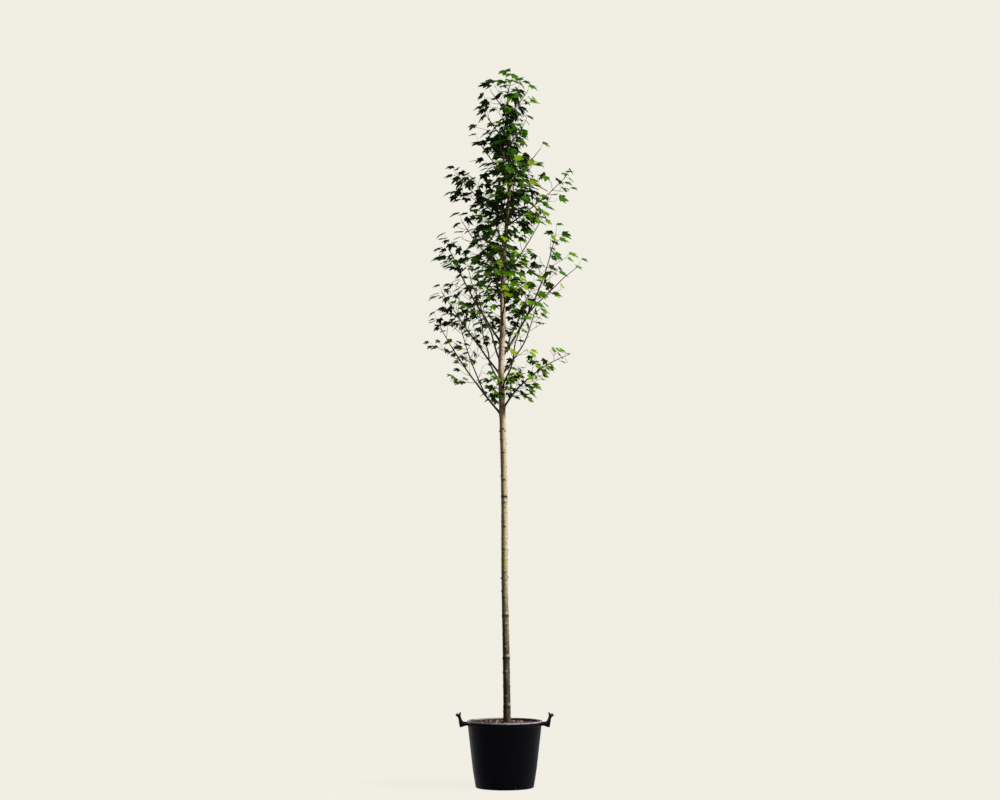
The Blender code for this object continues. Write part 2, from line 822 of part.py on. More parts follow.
def leaf_sites(mass):
    """Where leaves may stand: (twig number or -1 for the stem, root, direction, tilt, roll, size)."""
    rng = random.Random(mass.name + " leaves")
    sites = []
    for number, (share, path) in enumerate(mass.all_twigs):
        total = path_length(path)
        for place, sides in ((0.52, (0, 1)), (1.0, (2,))):
            spin = rng.uniform(-0.4, 0.4)
            for side in sides:
                centre, along = at_length(path, total * place - (0.0035 if side == 2 else 0.0))
                centre = centre + along * 0.007 * (side == 1)
                if side == 2:
                    out = along * 0.9 + UP * rng.uniform(-0.8, -0.1)
                else:
                    out = across(along, spin + math.pi * side) + along * 0.45
                    out += UP * rng.uniform(-1.0, -0.1)
                tilt = rng.uniform(-0.35, 0.5)
                roll = rng.uniform(-0.7, 0.7)
                sites.append((number, centre, out, tilt, roll, rng.uniform(0.82, 1.1)))
    total = path_length(mass.path)
    count = max(2, round(total / (NODE_STEP * mass.vigour)))
    turn = rng.uniform(0.0, math.pi)
    for i in range(count):
        share = (i + 0.75) / (count + 0.35)
        for side in (0, 1):
            droop = rng.uniform(-1.0, -0.1)
            swing = rng.uniform(-0.5, 0.5)
            tilt, roll, size = rng.uniform(-0.3, 0.4), rng.uniform(-0.6, 0.6), rng.uniform(0.85, 1.1)
            if i % 2 == 0:
                continue
            centre, along = at_length(mass.path, total * share + 0.007 * side)
            out = across(along, turn + math.pi / 2.0 * (i // 2) + math.pi * side + swing)
            out += along * 0.35 + UP * droop
            sites.append((-1, centre, out, tilt, roll, size))
    centre, along = at_length(mass.path, total - 0.0035)
    out = along + UP * rng.uniform(-0.2, 0.2)
    sites.append((-1, centre, out, 0.2, rng.uniform(-0.7, 0.7), 0.88 if mass.leader else 1.1))
    return sites


LEAF_CORNERS, LEAF_FACES = leaf_shape(LEAF_LENGTH, LEAF_WIDTH, LEAF_THICKNESS)


def fit_leaf(mass, owner, sibling, site):
    """A leaf's placing that keeps to the mass's space and touches nothing but its own twig."""
    number, centre, out, tilt, roll, size = site
    out = out.normalized()
    for trial, turn in enumerate((0.0, 0.45, -0.45, 0.0, 0.8, -0.8)):
        swung = Matrix.Rotation(turn, 3, UP) @ out
        if trial > 2:
            swung = swung + UP * 0.3
            size = size * 0.92
        swung.normalize()
        matrix = leaf_matrix(centre - swung * LEAF_SUNK, swung, tilt, roll)
        matrix = matrix @ Matrix.Scale(size * mass.vigour, 4)
        corners = [matrix @ c for c in LEAF_CORNERS]
        if not all(in_space(mass, corner) for corner in corners):
            continue
        if OBSTACLES.touches(corners, LEAF_FACES, (owner, sibling)):
            continue
        fatter = matrix @ Matrix.Diagonal((1.03, 1.05, 2.4, 1.0))
        OBSTACLES.add(sibling, [fatter @ c for c in LEAF_CORNERS], LEAF_FACES)
        return matrix
    return None


def plan_foliage():
    """Finds room for every stem first, then for the side twigs, and then for the leaves."""
    for mass in MASSES:
        radii = tapered(mass.path, mass.radius, STEM_TIP_RADIUS)
        OBSTACLES.add(mass.name, *prism(mass.path, [r + KEEP_CLEAR for r in radii]))
    for mass in MASSES:
        mass.all_twigs = side_twigs(mass)
        kept = []
        for number, (share, path) in enumerate(mass.all_twigs):
            radii = [TWIG_RADIUS, TWIG_TIP_RADIUS]
            beyond = [path[0] + (path[1] - path[0]) * 0.15, path[1]]
            room = in_space(mass, path[1])
            owner = f"{mass.name} {number}"
            if room and not OBSTACLES.touches(*prism(beyond, radii), (mass.name,)):
                OBSTACLES.add(owner, *prism(beyond, [r + KEEP_CLEAR for r in radii]))
                kept.append(number)
                mass.twigs.append((path, radii))
        mass.kept = set(kept)
    for mass in MASSES:
        for index, site in enumerate(leaf_sites(mass)):
            number = site[0]
            if number >= 0 and number not in mass.kept:
                continue
            owner = mass.name if number < 0 else f"{mass.name} {number}"
            matrix = fit_leaf(mass, owner, f"{mass.name} leaf {index}", site)
            if matrix is None:
                mass.skipped += 1
            else:
                mass.leaves.append(matrix)


def whole(mesh_data):
    """Whether every edge of a mesh has exactly two faces."""
    mesh = bmesh.new()
    mesh.from_mesh(mesh_data)
    closed = all(len(edge.link_faces) == 2 for edge in mesh.edges)
    mesh.free()
    return closed


def make_mass(mass, profile, trunk_clearance):
    """The stem, with its foot trimmed clear of the trunk, fused with its twigs and leaves."""
    shape = bpy.data.meshes.new("leaf")
    shape.from_pydata(LEAF_CORNERS, [], LEAF_FACES)
    radii = tapered(mass.path, mass.radius, STEM_TIP_RADIUS)
    for trial, solver in enumerate(("EXACT", "MANIFOLD", "EXACT", "EXACT", "EXACT")):
        if trial > 2:
            mass.leaves = mass.leaves[: len(mass.leaves) * 4 // 5]
        fatter = 1.0 + 0.02 * trial
        stem = tube("stem", mass.path, [r * fatter for r in radii], TREE, profile=profile)
        if mass.from_trunk:
            boolean(stem, "DIFFERENCE", trunk_clearance)
            stem = as_mesh(stem, "stem", TREE)
            drop_scrap(stem)
        pieces = [tube("twig", path, sizes, TREE, profile=profile) for path, sizes in mass.twigs]
        for matrix in mass.leaves:
            leaf = add_object("leaf", shape.copy(), TREE)
            leaf.data.transform(matrix)
            pieces.append(leaf)
        made, lost = fuse(mass.name, stem, pieces, solver)
        if whole(made.data):
            break
        print(mass.name, "stays open after", solver)
        bpy.data.objects.remove(made, do_unlink=True)
    made.name = mass.name
    tone = LEAF_GREENS[len(mass.name) % 3]
    return finish(made, tone, 20.0), f"{solver} {trial} {lost}"


# ---------------------------------------------------------------- the whole plant
def main():
    make_tub()
    make_soil()
    make_handle("handle_right", 0.0)
    make_handle("handle_left", math.pi)
    _, trunk_clearance, trunk_points = make_trunk()
    for row in LIMBS:
        _, leafy, radius = make_limb(row, trunk_clearance)
        mass = Mass("leaves_" + row[0], leafy, min(radius, STEM_RADIUS))
        mass.from_trunk = False
        MASSES.append(mass)
    for name, height, azimuth, first_angle, second_angle in TIERS:
        for half, angle in enumerate((first_angle, second_angle)):
            rng = random.Random(f"{name} {half}")
            bearing = azimuth + 180.0 * half + rng.uniform(-8.0, 8.0)
            start = trunk_point(height + 0.018 * half)
            length = 0.30
            for _ in range(4):
                rise = length * math.cos(math.radians(angle))
                reach = crown_reach(start.z + rise, math.radians(bearing))
                length = max(0.13, (reach - TIP_ROOM) / math.sin(math.radians(angle)))
            path = limb_path(start, bearing, angle + 5.0, angle - 7.0, length, rng)
            side = SIDE_NAMES[round(bearing / 90.0) % 4]
            mass = Mass(f"leaves_{name}_{side}", path, TIER_FOOT_RADIUS)
            mass.from_trunk = True
            MASSES.append(mass)
    tip = trunk_points[-1]
    along = (trunk_points[-1] - trunk_points[-2]).normalized()
    top_path = [tip + along * GAP, tip + along * 0.02, tip + along * 0.06 + Vector((0.006, 0.0, 0.0))]
    top_path.append(top_path[-1] + Vector((0.010, 0.002, 0.030)))
    leader = Mass("leaves_leader", top_path, 0.0036, leader=True)
    leader.from_trunk = False
    MASSES.append(leader)

    plan_foliage()
    profile = stem_profile()
    total_leaves = 0
    for mass in MASSES:
        _, lost = make_mass(mass, profile, trunk_clearance)
        total_leaves += len(mass.leaves)
        faces = sum(len(p.vertices) - 2 for p in bpy.data.objects[mass.name].data.polygons)
        print(mass.name, len(mass.twigs), "twigs", len(mass.leaves), "leaves", mass.skipped, "skipped",
              lost, "scrap", faces, "triangles")
    print("leaves in all:", total_leaves)


main()
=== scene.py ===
# %% [markdown]
# # A young red maple in a nursery tub
#
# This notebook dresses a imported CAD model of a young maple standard: a slender clear stem, a narrow
# feathered crown, and a black tub with two lifting handles. The CAD solids give every place and size,
# in metres, with the middle of the tub's underside at the origin, +X to the right and -Y to the front.
# We could sculpt a tree by hand, but a tree is a rule repeated many times, so we write the rule down
# and let loops grow it. The same rule, with the same seeds, made the CAD solids, and for that reason
# the fine twigs and leaves made here grow on from the limbs that the solids have.

import json
import math
import random

import bmesh
import bpy
import numpy as np
from mathutils import Matrix, Vector, noise
from mathutils.kdtree import KDTree

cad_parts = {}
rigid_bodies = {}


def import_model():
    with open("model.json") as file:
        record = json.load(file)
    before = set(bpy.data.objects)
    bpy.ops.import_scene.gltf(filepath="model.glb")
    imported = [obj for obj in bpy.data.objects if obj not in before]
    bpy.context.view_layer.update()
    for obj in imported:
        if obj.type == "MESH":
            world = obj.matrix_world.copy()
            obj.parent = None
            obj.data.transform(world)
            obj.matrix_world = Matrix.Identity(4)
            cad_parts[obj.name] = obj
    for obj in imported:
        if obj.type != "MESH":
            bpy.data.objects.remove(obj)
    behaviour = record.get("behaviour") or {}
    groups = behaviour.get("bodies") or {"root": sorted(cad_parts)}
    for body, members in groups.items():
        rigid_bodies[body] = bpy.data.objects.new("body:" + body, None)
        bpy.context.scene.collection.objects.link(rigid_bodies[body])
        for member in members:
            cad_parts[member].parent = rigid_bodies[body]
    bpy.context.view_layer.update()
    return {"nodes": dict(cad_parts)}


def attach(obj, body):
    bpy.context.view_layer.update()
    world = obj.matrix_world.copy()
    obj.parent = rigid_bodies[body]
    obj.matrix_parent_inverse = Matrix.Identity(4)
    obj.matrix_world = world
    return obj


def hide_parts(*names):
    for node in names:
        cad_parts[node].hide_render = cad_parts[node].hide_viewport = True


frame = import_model()
UP = Vector((0.0, 0.0, 1.0))
print("nodes in the frame:", len(frame["nodes"]))

# %% [markdown]
# ## Helpers for meshes
#
# Most of the tree is made of thousands of small things. A Blender object for each would be slow, and
# particles would be lost on export, so each kind of thing is gathered in plain arrays of corners and
# faces, and turned into one mesh at the end. `Heap` is such a store. `stand` then puts a finished mesh
# in the scene, gives it its finish, rides it on the tree's body, and hides the nodes of the frame that
# it stands for.


# %% Meshes from arrays
class Heap:
    """Corners and faces of many small shapes, to be joined into one mesh."""

    def __init__(self):
        self.corners = []
        self.faces = []
        self.count = 0

    def add(self, corners, faces):
        """Adds a shape, whose faces count its own corners from 0."""
        self.corners.append(np.asarray(corners, float))
        self.faces.extend(tuple(i + self.count for i in face) for face in faces)
        self.count += len(corners)

    def mesh(self, name):
        """All the shapes as one mesh."""
        made = bpy.data.meshes.new(name)
        made.from_pydata(np.concatenate(self.corners).tolist(), [], self.faces)
        made.validate()
        return made


def turns(count):
    """Angles evenly round a circle."""
    return [2.0 * math.pi * k / count for k in range(count)]


def tube_faces(rows, sides):
    """The faces of a closed tube whose corners lie in rows, the same number all round each."""
    faces = []
    for row in range(rows - 1):
        for k in range(sides):
            a, b = row * sides + k, row * sides + (k + 1) % sides
            faces.append((a, b, b + sides, a + sides))
    faces.append(tuple(range(sides - 1, -1, -1)))
    faces.append(tuple((rows - 1) * sides + k for k in range(sides)))
    return faces


def placed(name, data):
    """A new object in the scene, which holds a mesh, a light or a camera."""
    made = bpy.data.objects.new(name, data)
    bpy.context.scene.collection.objects.link(made)
    return made


def stand(name, mesh, surface, replaced, smooth_below):
    """Puts a mesh in the scene as a piece of the tree that stands for some CAD nodes."""
    made = placed(name, mesh)
    mesh.materials.clear()
    mesh.materials.append(surface)
    mesh.shade_smooth()
    mesh.set_sharp_from_angle(angle=math.radians(smooth_below))
    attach(made, "root")
    if replaced:
        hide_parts(*replaced)
    triangles = sum(len(p.vertices) - 2 for p in mesh.polygons)
    print(name, "has", triangles, "triangles")


# %% [markdown]
# ## Materials from nodes
#
# Every surface here is a Principled shader. What differs is how colour, roughness and height vary over
# it, and a few noise textures say that well. They read object coordinates in metres, so a noise of
# scale 200 has lumps of about 5 mm wherever it falls. Numbers that are the same all over a surface are
# set on the shader's own sockets, where an exporter finds them.


# %% A small vocabulary for node materials
NOISE_ROUGHNESS = 0.55


def new_surface(name, colour, roughness, specular=0.5):
    """A material, its node tree and its shader."""
    made = bpy.data.materials.new(name)
    made.use_nodes = True
    made.diffuse_color = (*colour, 1.0)
    shader = made.node_tree.nodes["Principled BSDF"]
    shader.inputs["Base Color"].default_value = (*colour, 1.0)
    shader.inputs["Roughness"].default_value = roughness
    shader.inputs["Specular IOR Level"].default_value = specular
    return made, made.node_tree, shader


def speckle(tree, scale, detail=3.0, stretch=(1.0, 1.0, 1.0)):
    """A noise in metres on the object, drawn out along an axis by a small stretch there."""
    where = tree.nodes.new("ShaderNodeTexCoord")
    mapping = tree.nodes.new("ShaderNodeMapping")
    mapping.inputs["Scale"].default_value = stretch
    tree.links.new(where.outputs["Object"], mapping.inputs["Vector"])
    made = tree.nodes.new("ShaderNodeTexNoise")
    made.inputs["Scale"].default_value = scale
    made.inputs["Detail"].default_value = detail
    made.inputs["Roughness"].default_value = NOISE_ROUGHNESS
    tree.links.new(mapping.outputs["Vector"], made.inputs["Vector"])
    return made.outputs["Fac"]


def upward(tree, kind):
    """How high a point lies, in metres, for the kind Object. How far its face looks up, for Normal."""
    where = tree.nodes.new("ShaderNodeTexCoord")
    split = tree.nodes.new("ShaderNodeSeparateXYZ")
    tree.links.new(where.outputs[kind], split.inputs["Vector"])
    return split.outputs["Z"]


def ramp(tree, value, *stops):
    """Colours or greys along a value: stops are (place, colour)."""
    made = tree.nodes.new("ShaderNodeValToRGB")
    elements = made.color_ramp.elements
    while len(elements) < len(stops):
        elements.new(0.5)
    for element, (place, colour) in zip(elements, stops):
        element.position = place
        element.color = (*colour, 1.0)
    tree.links.new(value, made.inputs["Fac"])
    return made.outputs["Color"]


def blend(tree, share, first, second):
    """Mixes two colours by a share from 0 to 1. Each colour is a plain one or another node's output."""
    made = tree.nodes.new("ShaderNodeMix")
    made.data_type = "RGBA"
    tree.links.new(share, made.inputs[0])
    for socket, colour in ((6, first), (7, second)):
        if isinstance(colour, bpy.types.NodeSocket):
            tree.links.new(colour, made.inputs[socket])
        else:
            made.inputs[socket].default_value = (*colour, 1.0)
    return made.outputs[2]


def span(tree, value, low, high, to_low=0.0, to_high=1.0):
    """Carries a value's range from low to high over to another range."""
    made = tree.nodes.new("ShaderNodeMapRange")
    tree.links.new(value, made.inputs["Value"])
    limits = (("From Min", low), ("From Max", high), ("To Min", to_low), ("To Max", to_high))
    for socket, limit in limits:
        made.inputs[socket].default_value = limit
    return made.outputs["Result"]


def relief(tree, shader, height, metres):
    """Bump from a height of 0 to 1 that stands this far out."""
    made = tree.nodes.new("ShaderNodeBump")
    made.inputs["Strength"].default_value = 1.0
    made.inputs["Distance"].default_value = metres
    tree.links.new(height, made.inputs["Height"])
    tree.links.new(made.outputs["Normal"], shader.inputs["Normal"])


# %% [markdown]
# ## The tub
#
# A nursery tub is injection moulded from black plastic: a foot with a rounded edge, a wall that leans
# out more below the belly than above it, and a rolled collar. Anything made on a turning mould
# is a profile run round an axis, so a Screw modifier is the natural tool. The drain holes low in the
# wall are then cut with one Boolean. The profile below is the CAD's, with its corners rounded.

# %% Sizes of the tub
TUB_HEIGHT = 0.375
FOOT_RADIUS = 0.166
BELLY = (0.183, 0.105)  # radius, height
NECK = (0.2112, 0.348)
COLLAR_RADIUS = 0.2145
TUB_WALL = 0.0035
TUB_FLOOR = 0.005
COLLAR_DEPTH = 0.007
TUB_STEPS = 144
SOIL_TOP = 0.355


def bent(corners, rounds, steps=4):
    """A polyline whose corners are rounded, each by its own distance."""
    points = [Vector(corners[0])]
    for before, corner, after, reach in zip(corners, corners[1:], corners[2:], rounds):
        corner = Vector(corner)
        start = corner + (Vector(before) - corner).normalized() * reach
        end = corner + (Vector(after) - corner).normalized() * reach
        for i in range(steps + 1):
            t = i / steps
            points.append(start * (1 - t) ** 2 + corner * 2 * t * (1 - t) + end * t * t)
    points.append(Vector(corners[-1]))
    return points


def tub_profile():
    """Radius and height down the inside, over the lip, and down the outside to the foot."""
    lip = COLLAR_RADIUS - TUB_WALL - COLLAR_DEPTH
    corners = (
        (0.0, TUB_FLOOR),
        (FOOT_RADIUS - TUB_WALL, TUB_FLOOR),
        (BELLY[0] - TUB_WALL, BELLY[1]),
        (NECK[0] - TUB_WALL - 0.002, TUB_HEIGHT - 0.014),
        (lip, TUB_HEIGHT - 0.003),
        (lip + 0.0012, TUB_HEIGHT),
        (COLLAR_RADIUS, TUB_HEIGHT),
        (COLLAR_RADIUS, NECK[1] + 0.002),
        (NECK[0], NECK[1]),
        BELLY,
        (FOOT_RADIUS, 0.0),
        (FOOT_RADIUS - 0.008, 0.0),
        (FOOT_RADIUS - 0.012, 0.003),
        (0.0, 0.003),
    )
    rounds = (0.004, 0.012, 0.004, 0.002, 0.0008, 0.0035, 0.0012, 0.0010, 0.014, 0.0045, 0.001, 0.001)
    return bent(corners, rounds)


# %% Turn the tub
def turned_mesh(name, profile, steps):
    """An object whose Screw modifier turns a profile round the vertical axis."""
    mesh = bpy.data.meshes.new(name)
    edges = [(i, i + 1) for i in range(len(profile) - 1)]
    mesh.from_pydata([(p[0], 0.0, p[1]) for p in profile], edges, [])
    made = placed(name, mesh)
    screw = made.modifiers.new("turn", "SCREW")
    screw.steps = screw.render_steps = steps
    screw.use_merge_vertices = True
    screw.merge_threshold = 0.0001
    return made


def bake_shape(made, name):
    """The finished shape of an object with modifiers, as a plain mesh; the object itself goes."""
    bpy.context.view_layer.update()
    graph = bpy.context.evaluated_depsgraph_get()
    mesh = bpy.data.meshes.new_from_object(made.evaluated_get(graph))
    mesh.name = name
    bpy.data.objects.remove(made, do_unlink=True)
    tidy = bmesh.new()
    tidy.from_mesh(mesh)
    bmesh.ops.remove_doubles(tidy, verts=tidy.verts, dist=1e-6)
    bmesh.ops.recalc_face_normals(tidy, faces=tidy.faces)
    tidy.to_mesh(mesh)
    tidy.free()
    return mesh


tub = turned_mesh("tub", tub_profile(), TUB_STEPS)

# %% Cut the drains
DRAINS = 8
DRAIN_RADIUS = 0.0055
DRAIN_MIDDLE = 0.0245
DRAIN_HALF_STRAIGHT = 0.0062
DRAIN_CORNERS = 24
DRAIN_REACH = (0.150, 0.190)  # the radii that the cutters run between
outline = []
for turn in turns(DRAIN_CORNERS):
    rise = DRAIN_HALF_STRAIGHT if math.sin(turn) > 0 else -DRAIN_HALF_STRAIGHT
    outline.append((DRAIN_RADIUS * math.cos(turn), DRAIN_MIDDLE + rise + DRAIN_RADIUS * math.sin(turn)))
drains = Heap()
for i in range(DRAINS):
    angle = math.radians(360.0 / DRAINS * (i + 0.5))
    out = Vector((math.cos(angle), math.sin(angle), 0.0))
    side = Vector((-out.y, out.x, 0.0))
    corners = [out * r + side * y + UP * z for r in DRAIN_REACH for y, z in outline]
    drains.add(corners, tube_faces(2, DRAIN_CORNERS))
cutter = placed("drain_cutter", drains.mesh("drain_cutter"))
cut = tub.modifiers.new("drains", "BOOLEAN")
cut.object = cutter
cut.solver = "EXACT"
tub_mesh = bake_shape(tub, "tub")
bpy.data.objects.remove(cutter, do_unlink=True)
print("tub corners:", len(tub_mesh.vertices))

# %% [markdown]
# ### Black moulded plastic
#
# New black polypropylene is never quite black: it is a very dark blue grey with a satin gloss, and the
# gloss is what shows its shape. The colour hardly varies, but the roughness does, because the tub has
# been handled, rained on and splashed. Dust, scuffs and a painted highlight pale every face that looks
# up, such as the top of the collar, so the shader reads how far the surface faces the sky. On the tub
# itself a little sheen stands for the bloom that sun and water leave, the top of the lip is painted pale
# all round as a painted highlight, and the inside is paler where the wall faces inwards. A fine
# orange-peel bump keeps the reflections from looking like glass.


# %% The tub's plastic
BLUE_GLOSS = (0.86, 0.84, 1.0, 1.0)
BLUE_BLOOM = (0.84, 0.80, 1.0, 1.0)
# the top of the lip is painted pale all round: a painted highlight of the sky on its rounded edge
LIP_HIGHLIGHT = (0.3672, 0.3695)  # no painted highlight below the first height, all of it above the second
# a paler grey brown laid on the faces of the wall that look inwards
INNER_WALL_PALE = (0.045, 0.042, 0.036)


def joined(tree, kind, operation, first, second):
    """The value that a maths node makes of two others."""
    made = tree.nodes.new(kind)
    made.operation = operation
    tree.links.new(first, made.inputs[0])
    tree.links.new(second, made.inputs[1])
    return made.outputs["Value"]


def weathered_and_highlighted(tree, shader, colour, dust_and_highlight):
    """What the tub has besides its pale upward faces: a bloom, a painted highlight all round the lip,
    and a paler tone where its wall faces inwards.
    """
    shader.inputs["Sheen Weight"].default_value = 0.08
    shader.inputs["Sheen Roughness"].default_value = 0.35
    shader.inputs["Sheen Tint"].default_value = BLUE_BLOOM
    # painted highlight along the lip, joined with the pale tone of the faces that look up
    lip = span(tree, upward(tree, "Object"), *LIP_HIGHLIGHT)
    dust_and_highlight = joined(tree, "ShaderNodeMath", "MAXIMUM", dust_and_highlight, lip)
    where = tree.nodes.new("ShaderNodeTexCoord").outputs
    outward = joined(tree, "ShaderNodeVectorMath", "DOT_PRODUCT", where["Object"], where["Normal"])
    # the inner wall is made paler where it faces inwards
    return blend(tree, span(tree, outward, -0.06, -0.12, 0.0, 0.8), colour, INNER_WALL_PALE), dust_and_highlight


def moulded_plastic(name, colour, roughness, dust_and_highlight_colour, is_tub):
    """Black plastic whose faces that look up are paled by scuffs, settled dirt and a painted highlight.
    """
    made, tree, shader = new_surface(name, colour, roughness, 0.08)
    shader.inputs["Specular Tint"].default_value = BLUE_GLOSS
    scuffs = ramp(tree, speckle(tree, 90.0), (0.35, (0.45,) * 3), (0.65, (1.0,) * 3))
    # faces that look up are paled: partly settled dirt, partly a painted highlight
    tone, dust_and_highlight = colour, span(tree, upward(tree, "Normal"), 0.25, 0.85)
    if is_tub:
        tone, dust_and_highlight = weathered_and_highlighted(tree, shader, colour, dust_and_highlight)
    dust_and_highlight_share = blend(tree, dust_and_highlight, (0.0, 0.0, 0.0), scuffs)
    tree.links.new(blend(tree, dust_and_highlight_share, tone, dust_and_highlight_colour), shader.inputs["Base Color"])
    smear = speckle(tree, 9.0, 4.0, (1.0, 1.0, 0.35))
    gloss = span(tree, smear, 0.35, 0.65, roughness - 0.08, roughness + 0.12)
    tree.links.new(gloss, shader.inputs["Roughness"])
    relief(tree, shader, speckle(tree, 420.0, 2.0), 0.00006)
    return made


# the pale lilac is settled dirt on faces that look up, and a painted highlight on the lip and collar
TUB_PLASTIC = moulded_plastic("tub_plastic", (0.0006, 0.0006, 0.0010), 0.34, (0.420, 0.360, 0.390), True)
HANDLE_PLASTIC = moulded_plastic(
    "handle_plastic", (0.0013, 0.0013, 0.0020), 0.42, (0.045, 0.042, 0.045), False
)
stand("tub", tub_mesh, TUB_PLASTIC, ["pot"], 32.0)

# %% [markdown]
# ## The lifting handles
#
# Each handle is two side plates that stand out from the collar, and a grip of forked section between
# them. Their outlines are already exact in the CAD solids. What a solid lacks is the small radius that
# a mould leaves on every edge, and without it no edge catches the light. So we take the solid's mesh,
# weld it, merge its flat triangles back into whole faces, and bevel what is left.


# %% Round the handles' edges
MOULD_RADIUS = 0.0009


def softened(node):
    """The mesh of a node of the frame, with every edge rounded."""
    mesh = frame["nodes"][node].data.copy()
    welded = bmesh.new()
    welded.from_mesh(mesh)
    bmesh.ops.remove_doubles(welded, verts=welded.verts, dist=1e-5)
    bmesh.ops.dissolve_limit(
        welded, angle_limit=math.radians(2.0), verts=welded.verts, edges=welded.edges
    )
    welded.to_mesh(mesh)
    welded.free()
    made = placed(node, mesh)
    bevel = made.modifiers.new("mould_radius", "BEVEL")
    bevel.width = MOULD_RADIUS
    bevel.segments = 2
    bevel.limit_method = "ANGLE"
    bevel.angle_limit = math.radians(32.0)
    return bake_shape(made, node)


for side in ("left", "right"):
    node = "handle_" + side
    stand(node + "_moulded", softened(node), HANDLE_PLASTIC, [node], 40.0)

# %% [markdown]
# ## The potting mix
#
# The tub is filled to just under its lip with peat and composted bark. Its surface is lumpy at two
# scales: soft hollows the size of a hand, and crumbs and chips. The hollows are noise added to a disc
# of rings, as part of one closed body that fills the tub. The chips are real little slabs, because a
# bump map can't break up the edge that the eye sees at this low angle. They are dealt out in three
# colours of bark, each joined into one mesh.


# %% The colour of the mix
def mix_surface(name, colour, variety):
    """Crumbs of one colour, lighter and darker by a share of it, and painted shade that turns it nearly
    black deep in the tub.
    """
    made, tree, shader = new_surface(name, colour, 0.95, 0.25)
    crumbs = speckle(tree, 150.0, 5.0)
    dark = tuple(c * (1.0 - variety) for c in colour)
    pale = tuple(min(c * (1.0 + variety), 1.0) for c in colour)
    # painted shade: deep in the tub, where the drains show it, the mix is made nearly black
    painted_shade = tuple(c * 0.04 for c in colour)
    tone = ramp(tree, crumbs, (0.32, dark), (0.50, colour), (0.70, pale))
    tone = blend(tree, span(tree, upward(tree, "Object"), 0.06, 0.30), painted_shade, tone)
    tree.links.new(tone, shader.inputs["Base Color"])
    relief(tree, shader, crumbs, 0.002)
    return made


# %% The body of the mix
MIX_GAP = 0.0006
WALL_LEAN = (0.0259, 0.256)  # how far the inner wall leans out above the belly, over which height
INNER_RADIUS = BELLY[0] - TUB_WALL + WALL_LEAN[0] * (SOIL_TOP - BELLY[1]) / WALL_LEAN[1] - MIX_GAP
MIX_SIDE = (
    # radius and height of the rows of corners below the surface
    (BELLY[0] - TUB_WALL - MIX_GAP, BELLY[1]),
    (FOOT_RADIUS - TUB_WALL - MIX_GAP, TUB_FLOOR + 0.0005),
)
STEM_X = 0.013
RINGS, SPOKES = 44, 96


def soil_height(x, y):
    """The surface of the mix: hollows, crumbs, and a low mound about the stem."""
    lump = noise.noise(Vector((x * 14.0, y * 14.0, 3.0))) * 0.0045
    lump += noise.noise(Vector((x * 60.0, y * 60.0, 7.0))) * 0.0022
    mound = 0.004 * math.exp(-((x - STEM_X) ** 2 + y * y) / 0.004)
    return SOIL_TOP + 0.004 + lump + mound


corners = [(0.0, 0.0, soil_height(0.0, 0.0))]
for ring in range(1, RINGS + 1):
    radius = INNER_RADIUS * ring / RINGS
    for angle in turns(SPOKES):
        x, y = radius * math.cos(angle), radius * math.sin(angle)
        corners.append((x, y, soil_height(x, y)))
for radius, height in MIX_SIDE:
    corners += [(radius * math.cos(angle), radius * math.sin(angle), height) for angle in turns(SPOKES)]
faces = [(0, 1 + spoke, 1 + (spoke + 1) % SPOKES) for spoke in range(SPOKES)]
for ring in range(RINGS + 1):
    for spoke in range(SPOKES):
        a, b = 1 + ring * SPOKES + spoke, 1 + ring * SPOKES + (spoke + 1) % SPOKES
        faces.append((a, a + SPOKES, b + SPOKES, b))
faces.append(tuple(1 + (RINGS + 1) * SPOKES + k for k in range(SPOKES - 1, -1, -1)))
fill = Heap()
fill.add(corners, faces)
POTTING_MIX = mix_surface("potting_mix", (0.066, 0.036, 0.031), 0.55)
stand("potting_mix", fill.mesh("potting_mix"), POTTING_MIX, ["soil"], 60.0)

# %% [markdown]
# ### Chips of bark
#
# A chip is a slab with five or six uneven corners, a few millimetres thick, that lies nearly flat. The
# seed of the random numbers is fixed, so the same chips fall in the same places at every run.


# %% Scatter the chips
CHIP_KINDS = (
    # piece, colour, how many are dealt out
    ("mix_chips_red", (0.120, 0.060, 0.050), 430),
    ("mix_chips_dark", (0.040, 0.025, 0.022), 380),
    ("mix_chips_pale", (0.460, 0.365, 0.305), 210),
)
CHIP_TURNS = (("Z", 0.0, 6.28), ("X", -0.45, 0.45), ("Y", -0.35, 0.35))  # axis, least, most
CLEAR_OF_STEM = 0.030
CLEAR_OF_WALL = 0.011
CHIP_SIZE = (0.0035, 0.0110)


def chip(rng, size):
    """A slab of bark: an uneven outline, a top and a bottom."""
    sides = rng.randint(5, 6)
    outline = []
    for k in range(sides):
        turn = 2.0 * math.pi * (k + rng.uniform(-0.25, 0.25)) / sides
        x = size * math.cos(turn) * rng.uniform(0.7, 1.1)
        y = 0.55 * size * math.sin(turn) * rng.uniform(0.7, 1.1)
        outline.append((x, y))
    thick = size * rng.uniform(0.14, 0.24)
    low = [Vector((x, y, -thick)) for x, y in outline]
    high = [Vector((x * 0.88, y * 0.85, thick)) for x, y in outline]
    return low + high, tube_faces(2, sides)


